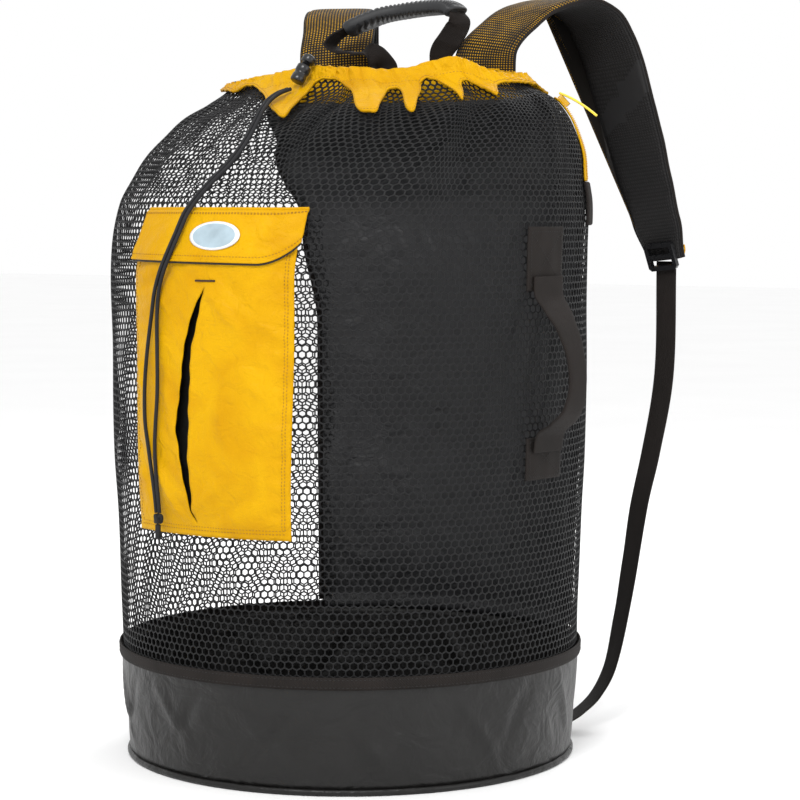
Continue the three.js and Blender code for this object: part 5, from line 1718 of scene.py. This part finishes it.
@dataclass
class Zip:
    """The short zip on the right shoulder, between the net and the panel."""

    turn: float = math.radians(113)
    top: float = 646 * MM
    foot: float = 566 * MM
    width: float = 24 * MM
    wall: float = 1.6 * MM
    lift: float = 0.8 * MM
    gap: float = 0.4 * MM
    block_height: float = 42 * MM
    block_width: float = 34 * MM
    block_wall: float = 3 * MM
    slider_length: float = 15 * MM
    slider_width: float = 11 * MM
    slider_depth: float = 4.5 * MM
    pull_length: float = 44 * MM
    pull_width: float = 9 * MM
    pull_wall: float = 2.4 * MM

    def strip(
        self, name: str, node: str, low: float, high: float, width: float, wall: float, kind: Finish
    ) -> None:
        """Makes a sewn strip on the shoulder.

        Args:
            name: the piece's name.
            node: the CAD node that it stands for.
            low: its lower edge's height.
            high: its upper edge's height.
            width: its width.
            wall: its thickness.
            kind: its finish.
        """
        half = BODY.turn_of(width / 2)

        def face(u: Array, v: Array) -> Array:
            """The outer face's points at shares across and up."""
            rim = np.minimum(np.minimum(u, 1 - u) * width, np.minimum(v, 1 - v) * (high - low))
            roll = -0.5 * wall * np.exp(-rim / (0.8 * MM))
            return BODY.point(self.turn + (2 * u - 1) * half, mix(low, high, v), self.lift + wall + roll)

        settle(cloth(name, (16, 40), (width, high - low), face, wall * 0.7), kind, node)

    def build(self) -> None:
        """Makes the tape, its teeth, its block, slider and pull."""
        self.strip("zip_strip", "zip_tape", self.foot, self.top, self.width, self.wall, YELLOW)
        block_top = self.foot - self.gap
        block_foot = block_top - self.block_height
        self.strip("zip_block", "zip_garage", block_foot, block_top, self.block_width, self.block_wall, WEB)
        bm = bmesh.new()
        for k, height in enumerate(np.arange(self.foot + 3 * MM, self.top - 8 * MM, 1.6 * MM)):
            side = 1 if k % 2 else -1
            turn = np.array([self.turn + BODY.turn_of(0.7 * MM) * side])
            spot = BODY.point(turn, np.array([height]), np.array([self.lift + self.wall + 0.5 * MM]))[0]
            facing = Vector(BODY.normal(turn, np.array([height]))[0])
            place = facing.to_track_quat("Z", "Y").to_matrix().to_4x4()
            place.translation = Vector(spot)
            size = Matrix.Diagonal((2.6 * MM, 1.0 * MM, 1.1 * MM, 1))
            bmesh.ops.create_cube(bm, size=1, matrix=place @ size)
        bmesh.ops.bevel(
            bm, geom=bm.edges[:], offset=0.18 * MM, segments=1, profile=0.5, affect="EDGES", material=-1
        )
        settle(to_object("zip_teeth", bm), TEETH)
        self.slider()

    def slider(self) -> None:
        """Makes the slider and its pull tab."""
        lift = self.lift + self.wall + self.gap
        top = self.top - 2 * MM
        height = np.array([top - self.slider_length / 4])
        turn = np.array([self.turn])
        spot = BODY.point(turn, height, np.array([lift + self.slider_depth / 2]))[0]
        facing = Vector(BODY.normal(turn, height)[0])
        side = Vector((math.cos(self.turn), math.sin(self.turn), 0))
        up = facing.cross(side).normalized()
        place = Matrix((side, up, facing)).transposed().to_4x4()
        place.translation = Vector(spot)
        bm = bmesh.new()
        size = Matrix.Diagonal((self.slider_width, self.slider_length * 0.8, self.slider_depth, 1))
        bmesh.ops.create_cube(bm, size=1, matrix=size)
        bmesh.ops.subdivide_edges(bm, edges=bm.edges[:], cuts=3, use_grid_fill=True)
        for vert in bm.verts:
            pinch = 1 - 0.3 * max(0.0, -vert.co.y / self.slider_length * 2)
            vert.co.x *= pinch
        bmesh.ops.bevel(
            bm, geom=bm.edges[:], offset=0.25 * MM, segments=1, profile=0.5, affect="EDGES", material=-1
        )
        bmesh.ops.transform(bm, matrix=place, verts=bm.verts)
        settle(to_object("zip_runner", bm), TEETH, "zip_slider")
        pull_lift = lift + self.slider_depth + self.gap + self.pull_wall / 2
        start = BODY.point(turn, height + 5 * MM, np.array([pull_lift - 1.5 * MM]))[0]
        out = np.array([math.sin(self.turn), -math.cos(self.turn), 0])
        t = np.linspace(0, 1, 5)
        knots = start + out * (0.82 * self.pull_length * t)[:, None]
        knots[:, 2] -= 0.5 * self.pull_length * t * (0.6 + 0.4 * t)
        path = path_through(knots, 50)
        wide = np.tile([math.cos(self.turn), math.sin(self.turn), 0], (50, 1))
        half = np.full(50, self.pull_width / 2) * (1 - 0.25 * np.exp(-np.linspace(0, 8, 50)))
        tab = sleeve("zip_tab", path, wide, half, np.full(50, self.pull_wall / 2), 20, 0.4)
        settle(tab, PALE_YELLOW, "zip_pull")


# Top handle


@dataclass
class TopHandle:
    """The carry handle behind the mouth: a webbing loop through a ribbed rubber grip."""

    width: float = 24 * MM
    wall: float = 3 * MM
    span: float = 62 * MM
    rise: float = 74 * MM
    sway: float = 36 * MM
    foot: float = 669 * MM
    root_lift: float = 10.4 * MM
    grip_width: float = 32 * MM
    grip_depth: float = 15 * MM
    steps: int = 36
    grip_first: int = 14
    grip_last: int = 24
    right: tuple[float, ...] = (
        -0.5, -0.5, -0.66, -0.9, -1.13, -1.24, -1.16, -0.97, -0.435, -0.03, 0.45, 0.81, 0.97, 1.02, 0.94,
        0.8, 0.6, 0.52, 0.5,
    )  # fmt: skip
    front: tuple[float, ...] = (
        0, -0.04, 0.24, 0.6, 0.82, 0.86, 0.83, 0.73, 0.43, 0.26, 0.25, 0.34, 0.39, 0.41, 0.4, 0.35, 0.18,
        0.02, 0,
    )  # fmt: skip
    up: tuple[float, ...] = (
        0, 0.24, 0.38, 0.41, 0.44, 0.52, 0.62, 0.72, 0.91, 0.97, 1, 0.985, 0.905, 0.77, 0.66, 0.53, 0.38,
        0.23, 0,
    )  # fmt: skip
    twists: tuple[float, ...] = (0, 0, 0.5, 0.85, 1, 1, 1, 1, 1, 1, 1, 1, 0.9, 0.6, 0.3, 0.1, 0, 0, 0)

    def root(self, side: int) -> float:
        """How far back one root stands."""
        height = np.array([self.foot])
        middle = BODY.size(BODY.right, height)
        turn = np.pi - np.arcsin((side * self.span / 2 - middle) / BODY.size(BODY.half_width, height))
        return float(BODY.point(turn, height, np.array([self.root_lift]))[0][1])

    def build(self) -> None:
        """Makes the webbing loop and the grip."""
        left, right = self.root(-1), self.root(1)
        across = np.array(self.right)
        knots = np.stack(
            [
                across * self.span,
                mix(left, right, across + 0.5) - np.array(self.front) * self.sway,
                self.foot + np.array(self.up) * self.rise,
            ],
            axis=1,
        )
        count = self.steps * 6 + 1
        path = path_through(knots, count)
        way = np.linspace(0, 1, count)
        twist = np.pi / 2 * wave_at(np.linspace(0, 1, len(across)), self.twists, way)
        wide = np.stack([np.cos(twist), np.sin(twist), np.zeros(count)], axis=1)
        flat = np.full(count, 1.0)
        web = sleeve("carry_web", path, wide, flat * self.width / 2, flat * self.wall / 2, 24, 0.3)
        settle(web, WEB, "top_handle_web")
        first, last = self.grip_first * 6, self.grip_last * 6
        part = path[first : last + 1]
        fine = path_through(part[::3], 260)
        turns = np.interp(np.linspace(first, last, 260), np.arange(count), twist)
        side = np.stack([np.cos(turns), np.sin(turns), np.zeros(260)], axis=1)
        length = path_length(fine)
        ends = np.minimum(np.linspace(0, 1, 260), np.linspace(1, 0, 260)) * length
        taper = 1 - 0.22 * np.exp(-ends / (3 * MM))
        swell = 1 + 0.06 * np.sin(np.pi * np.linspace(0, 1, 260))

        def ribs(angle: Array, v: Array) -> Array:
            """The ribs' depth at angles round and shares along."""
            lean = np.abs(np.cos(angle))
            rib = 0.5 + 0.5 * np.cos(2 * np.pi * (v * length / (4.6 * MM) - 1.1 * lean))
            along = np.clip((0.93 - np.abs(2 * v - 1)) * 12, 0, 1)
            field = along * np.clip((np.abs(np.sin(angle)) - 0.35) * 5, 0, 1)
            return -1.3 * MM * (1 - rib) ** 2 * field

        grip = sleeve(
            "carry_grip",
            fine,
            side,
            self.grip_width / 2 * taper,
            self.grip_depth / 2 * taper * swell,
            32,
            0.7,
            swell=ribs,
        )
        settle(grip, RUBBER, "top_handle_grip")


# Shoulder straps


@dataclass
class Strap:
    """A padded shoulder strap with its adjuster web."""

    side: Side
    root_turn: float
    root_clear: float
    spread: float
    lean: float
    width: float = 76 * MM
    depth: float = 10 * MM
    foot: float = 669 * MM
    rise: float = 80 * MM
    drop: float = 262 * MM
    reach: float = 207 * MM
    root_lift: float = 7.3 * MM
    web_width: float = 25 * MM
    web_wall: float = 2 * MM
    web_end: float = 13 * MM
    web_end_turn: float = math.radians(139)
    gap: float = 0.4 * MM
    out: tuple[float, ...] = (0, 0.02, 0.13, 0.25, 0.43, 0.57, 0.64, 0.69, 0.76, 0.81, 0.87, 0.94, 1)
    back: tuple[float, ...] = (0, 0.01, 0.135, 0.25, 0.435, 0.57, 0.64, 0.69, 0.765, 0.815, 0.87, 0.94, 1)
    up: tuple[float, ...] = (0, 0.36, 0.7, 0.9, 1, 1, 1, 1, 1, 1, 1, 1, 1)
    down: tuple[float, ...] = (0, 0, 0, 0, 0, 0.05, 0.13, 0.22, 0.4, 0.52, 0.68, 0.85, 1)
    widths: tuple[float, ...] = (1, 1, 1, 1, 1, 1, 1, 1, 0.98, 0.95, 0.9, 0.8, 0.62)
    web_along: tuple[float, ...] = (0, 0.02, 0.15, 0.26, 0.35, 0.44, 0.56, 0.7, 0.86, 1)
    web_down: tuple[float, ...] = (0, 0.26, 0.43, 0.54, 0.67, 0.79, 0.905, 0.957, 0.985, 1)
    web_turns: tuple[float, ...] = (0, 0.05, 0.15, 0.25, 0.4, 0.55, 0.75, 0.9, 1, 1)

    def wide(self) -> Array:
        """The direction of the strap's width."""
        return np.array([math.cos(self.lean), -self.side.value * math.sin(self.lean), 0])

    def line(self, count: int) -> Array:
        """The strap's centre line."""
        turn, height = np.array([self.root_turn]), np.array([self.foot])
        root = BODY.point(turn, height, np.array([self.root_lift]))[0]
        root = root + np.array([0, self.root_clear + self.depth / 2, 0])
        knots = np.stack(
            [
                root[0] + self.side.value * self.spread * np.array(self.out),
                root[1] + self.reach * np.array(self.back),
                self.foot + self.rise * np.array(self.up) - self.drop * np.array(self.down),
            ],
            axis=1,
        )
        return path_through(knots, count)

    def pad(self) -> Array:
        """Makes the padded strap and its edge piping.

        Returns:
            Its centre line.
        """
        count = 161
        path = self.line(count)
        way = np.linspace(0, 1, count)
        wide = np.tile(self.wide(), (count, 1))
        half = self.width / 2 * wave_at(np.linspace(0, 1, len(self.widths)), self.widths, way)
        length = path_length(path)

        def soft(angle: Array, v: Array) -> Array:
            """The pad's swells, dart and edge seams at angles round and shares along."""
            middle = 1 - np.abs(np.cos(angle)) ** 5
            dart = -1.6 * MM * np.exp(-(((v - 0.86) * length / (5 * MM)) ** 2)) * middle
            seam = -1.0 * MM * np.exp(-(((np.abs(np.cos(angle)) - 0.86) / 0.05) ** 2))
            swell = middle * 0.35 * MM * ripple(angle * 0.02, v * length, 51, (0.05, 0.08, 0.035))
            return swell + dart + seam

        def face_of(u: float, v: float) -> int:
            """The material index at shares round and along."""
            if u < 0.5:
                return 0
            turned = math.cos(2 * math.pi * u)
            across = -math.copysign(abs(turned) ** 0.5, turned) / 2 * self.side.value
            return 2 if abs(v - (0.66 - 0.095 * across)) < 0.028 else 1

        depth = np.full(count, self.depth / 2)
        name = f"strap_pad_{self.side.word}"
        pad = sleeve(name, path, wide, half - 1 * MM, depth, 52, 0.5, face_of, soft)
        dress(pad, PAD_OUTER, PAD_INNER, PAD_BAND)
        settle(pad, PAD_OUTER, f"shoulder_strap_{self.side.word}")
        tangent = unit(np.gradient(path, axis=0))
        across = unit(wide - tangent * np.sum(wide * tangent, axis=1, keepdims=True))
        for name, sign in (("near", -1), ("far", 1)):
            edge = path + across * (sign * (half - 1.1 * MM))[:, None]
            settle(tube(f"strap_piping_{self.side.word}_{name}", edge, 1.7 * MM, 8), WEB)
        out = unit(np.cross(across, tangent)) * (0.32 * self.depth)
        right = (path + across * (half - 0.4 * MM)[:, None] + out)[-5::2]
        foot = path[-1] + out[-1] + tangent[-1] * 0.6 * MM
        foot = foot + np.outer(np.linspace(0.75, -0.9, 6), across[-1] * half[-1])
        tip = path_through(np.vstack([right[:-1], foot]), 80)
        settle(tube(f"strap_tip_piping_{self.side.word}", tip, 0.9 * MM, 8), PIPING)
        return path

    def web(self, path: Array) -> None:
        """Makes the adjuster web from the buckle down to the tub.

        Args:
            path: the strap's centre line.
        """
        end = path[-1]
        along = unit(path[-1] - path[-2])
        across = unit(self.wide() - along * np.dot(self.wide(), along))
        outer = -unit(np.cross(across, along))
        start = end + along * (self.gap + self.web_wall) + outer * self.web_wall / 2
        turn = self.side.value * self.web_end_turn
        lift = np.array([0.8 * MM + 2 * self.web_wall])
        stop = BODY.point(np.array([turn]), np.array([self.web_end]), lift)[0]
        share = np.array(self.web_along)[:, None]
        knots = mix(start, stop, share)
        knots[:, 2] = mix(start[2], stop[2], np.array(self.web_down))
        count = 140
        line = path_through(knots, count)
        way = np.linspace(0, 1, count)
        tangent = np.array([-math.cos(turn), -math.sin(turn), 0])
        share = wave_at(np.linspace(0, 1, len(self.web_turns)), self.web_turns, way)[:, None]
        wide = mix(self.wide(), tangent, share)
        flat = np.full(count, 1.0)
        name = f"adjuster_{self.side.word}"
        web = sleeve(name, line, wide, flat * self.web_width / 2, flat * self.web_wall / 2, 16, 0.3)
        settle(web, WEB, f"adjuster_web_{self.side.word}")

    def build(self) -> None:
        """Makes the strap's pieces."""
        self.web(self.pad())


# Drawcord


@dataclass
class Drawcord:
    """The mouth's cord, its lock, its knot and its short end."""

    diameter: float = 3.6 * MM
    lock_turn: float = math.radians(-3)
    lock_height: float = 655 * MM
    lock_lift: float = 14.9 * MM
    lean_side: float = math.radians(17)
    lean_back: float = math.radians(24)
    left: tuple[tuple[float, float, float], ...] = (
        (5, -110, 653), (1.5, -123, 648.5), (1, -138, 641), (4, -153, 631), (7, -168, 617),
        (8.5, -186, 600), (6, -207, 580), (-3, -223, 563), (-10, -236, 547.5), (-14.5, -244.2, 535),
        (-19.5, -250.5, 517),
        (-27.5, -252.5, 500), (-37, -252, 482), (-45, -250, 463), (-50, -248.5, 441), (-56, -247, 412),
        (-60, -246, 385), (-61.5, -245.5, 363), (-60.5, -246, 341), (-57.5, -246.3, 323),
        (-54.5, -246.3, 305), (-52, -245.5, 286), (-50.3, -244.5, 268), (-49.6, -244, 257.4),
    )  # fmt: skip
    right: tuple[tuple[float, float, float], ...] = (
        (9.3, -111, 653), (6, -123.5, 648.5), (5.5, -138.5, 641), (8.4, -153.5, 631), (11.3, -168.5, 617),
        (12.8, -186, 600), (10.4, -207, 580), (1.5, -223, 563), (-5.5, -236, 547.5), (-10, -244.2, 535),
        (-15.2, -250.5, 517),
        (-23, -252.5, 500), (-32.5, -252, 482), (-40, -250, 463), (-42.5, -249.5, 441), (-43, -249.2, 412),
        (-43, -249, 385), (-44, -248.7, 363), (-46.5, -248, 341), (-48, -247.4, 323),
        (-48.2, -246.8, 305), (-47.3, -246, 286), (-46, -245, 268), (-45.4, -244.4, 257.4),
    )  # fmt: skip
    knot: float = 5.5 * MM
    knot_length: float = 10 * MM
    tail_radius: float = 2.6 * MM
    tail_length: float = 13 * MM
    gap: float = 0.4 * MM

    def cords(self) -> None:
        lines = {Side.LEFT: np.array(self.left) * MM, Side.RIGHT: np.array(self.right) * MM}
        top = (lines[Side.LEFT][-1] + lines[Side.RIGHT][-1]) / 2 - np.array([0, 0, self.gap])
        knot = self.knot_piece(top)
        tail_top = top - np.array([0, 0, self.knot_length + self.gap])
        foot = Matrix.Translation(Vector(tail_top))
        r, n = self.tail_radius, self.tail_length
        profile = [(0, -n), (r * 0.8, -n), (r, -n + 0.8 * MM), (r, -0.8 * MM), (r * 0.8, 0), (0, 0)]
        tail = settle(lathe("cord_end", profile, foot, 20), CORD, "drawcord_tail")
        for side, line in lines.items():
            path = path_through(line, 200)
            piece = tube(f"cord_strand_{side.word}", path, self.diameter / 2, 14)
            settle(piece, CORD, f"drawcord_{side.word}")

    def knot_piece(self, top: Array) -> bpy.types.Object:
        """Makes the knot as three crossed loops of cord.

        Args:
            top: the middle of its upper end.

        Returns:
            The knot.
        """
        t = np.linspace(0, 2 * np.pi, 121)
        size = self.knot - 1.5 * MM
        x = size * 0.42 * (np.sin(t) + 1.6 * np.sin(2 * t)) * 0.8
        y = size * 0.42 * (np.cos(t) - 1.6 * np.cos(2 * t)) * 0.62
        z = self.knot_length * 0.3 * np.sin(3 * t)
        path = np.stack([x, y, z - self.knot_length / 2], axis=1) + top
        piece = tube("cord_knot", path, 2.0 * MM, 12)
        return settle(piece, CORD, "drawcord_knot")

    def lock(self) -> None:
        """Makes the lock's barrel and its spring button."""
        lean = math.radians(35)
        axis = Vector(
            (
                math.sin(self.lean_side) * math.cos(lean),
                math.sin(self.lean_side) * math.sin(lean) + math.sin(self.lean_back),
                math.cos(self.lean_side),
            )
        ).normalized()
        turn, height = np.array([self.lock_turn]), np.array([self.lock_height])
        centre = BODY.point(turn, height, np.array([self.lock_lift]))[0]
        place = Vector((0, 0, 1)).rotation_difference(axis).to_matrix().to_4x4()
        place.translation = Vector(centre)
        radius, half = 7 * MM, 9 * MM
        barrel = [(0, -half), (radius - 1.8 * MM, -half), (radius - 0.5 * MM, -half + 0.5 * MM)]
        barrel += [(radius, -half + 1.8 * MM), (radius, -2.2 * MM), (radius - 0.6 * MM, -1.8 * MM)]
        barrel += [(radius - 0.6 * MM, 1.8 * MM), (radius, 2.2 * MM), (radius, half - 1.2 * MM)]
        barrel += [(radius - 0.4 * MM, half - 0.4 * MM), (radius - 1.2 * MM, half), (4.4 * MM, half)]
        barrel += [(4.4 * MM, -half + 5 * MM), (0, -half + 5 * MM)]
        settle(lathe("lock_barrel", barrel, place, 40), HARD, "cord_lock")
        foot = half + 3.6 * MM
        button = [(0, foot - 12 * MM), (4 * MM, foot - 12 * MM), (4 * MM, foot), (5.7 * MM, foot)]
        button += [(6.5 * MM, foot + 0.8 * MM), (6.5 * MM, foot + 5.6 * MM), (6 * MM, foot + 7 * MM)]
        button += [(4.6 * MM, foot + 7.8 * MM), (0, foot + 8 * MM)]
        settle(lathe("lock_button", button, place, 40), HARD, "cord_lock_plunger", body="cord_lock_button")


def dress_kept_nodes(frame: dict) -> None:
    """Gives the CAD nodes whose shape is right their finish.

    Args:
        frame: the loaded frame.
    """
    for side in Side:
        dress(frame["nodes"][f"ladder_lock_{side.word}"], HARD)


def main() -> None:
    """Builds the bag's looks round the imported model."""
    logging.basicConfig(level=logging.INFO, format="%(message)s")
    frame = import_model()
    studio = Studio()
    studio.camera()
    Drawcord().cords()
    Tub().build()
    Net().build()
    BackPanel().build()
    Collar().build()
    Pocket().build()
    SideHandle().build()
    Zip().build()
    TopHandle().build()
    Strap(Side.RIGHT, math.radians(155), 0.9 * MM, 98 * MM, math.radians(6)).build()
    Strap(Side.LEFT, math.radians(218.5), -0.8 * MM, 130 * MM, math.radians(20)).build()
    Drawcord().lock()
    dress_kept_nodes(frame)
    studio.floor()
    studio.light()


if __name__ == "__main__":
    main()
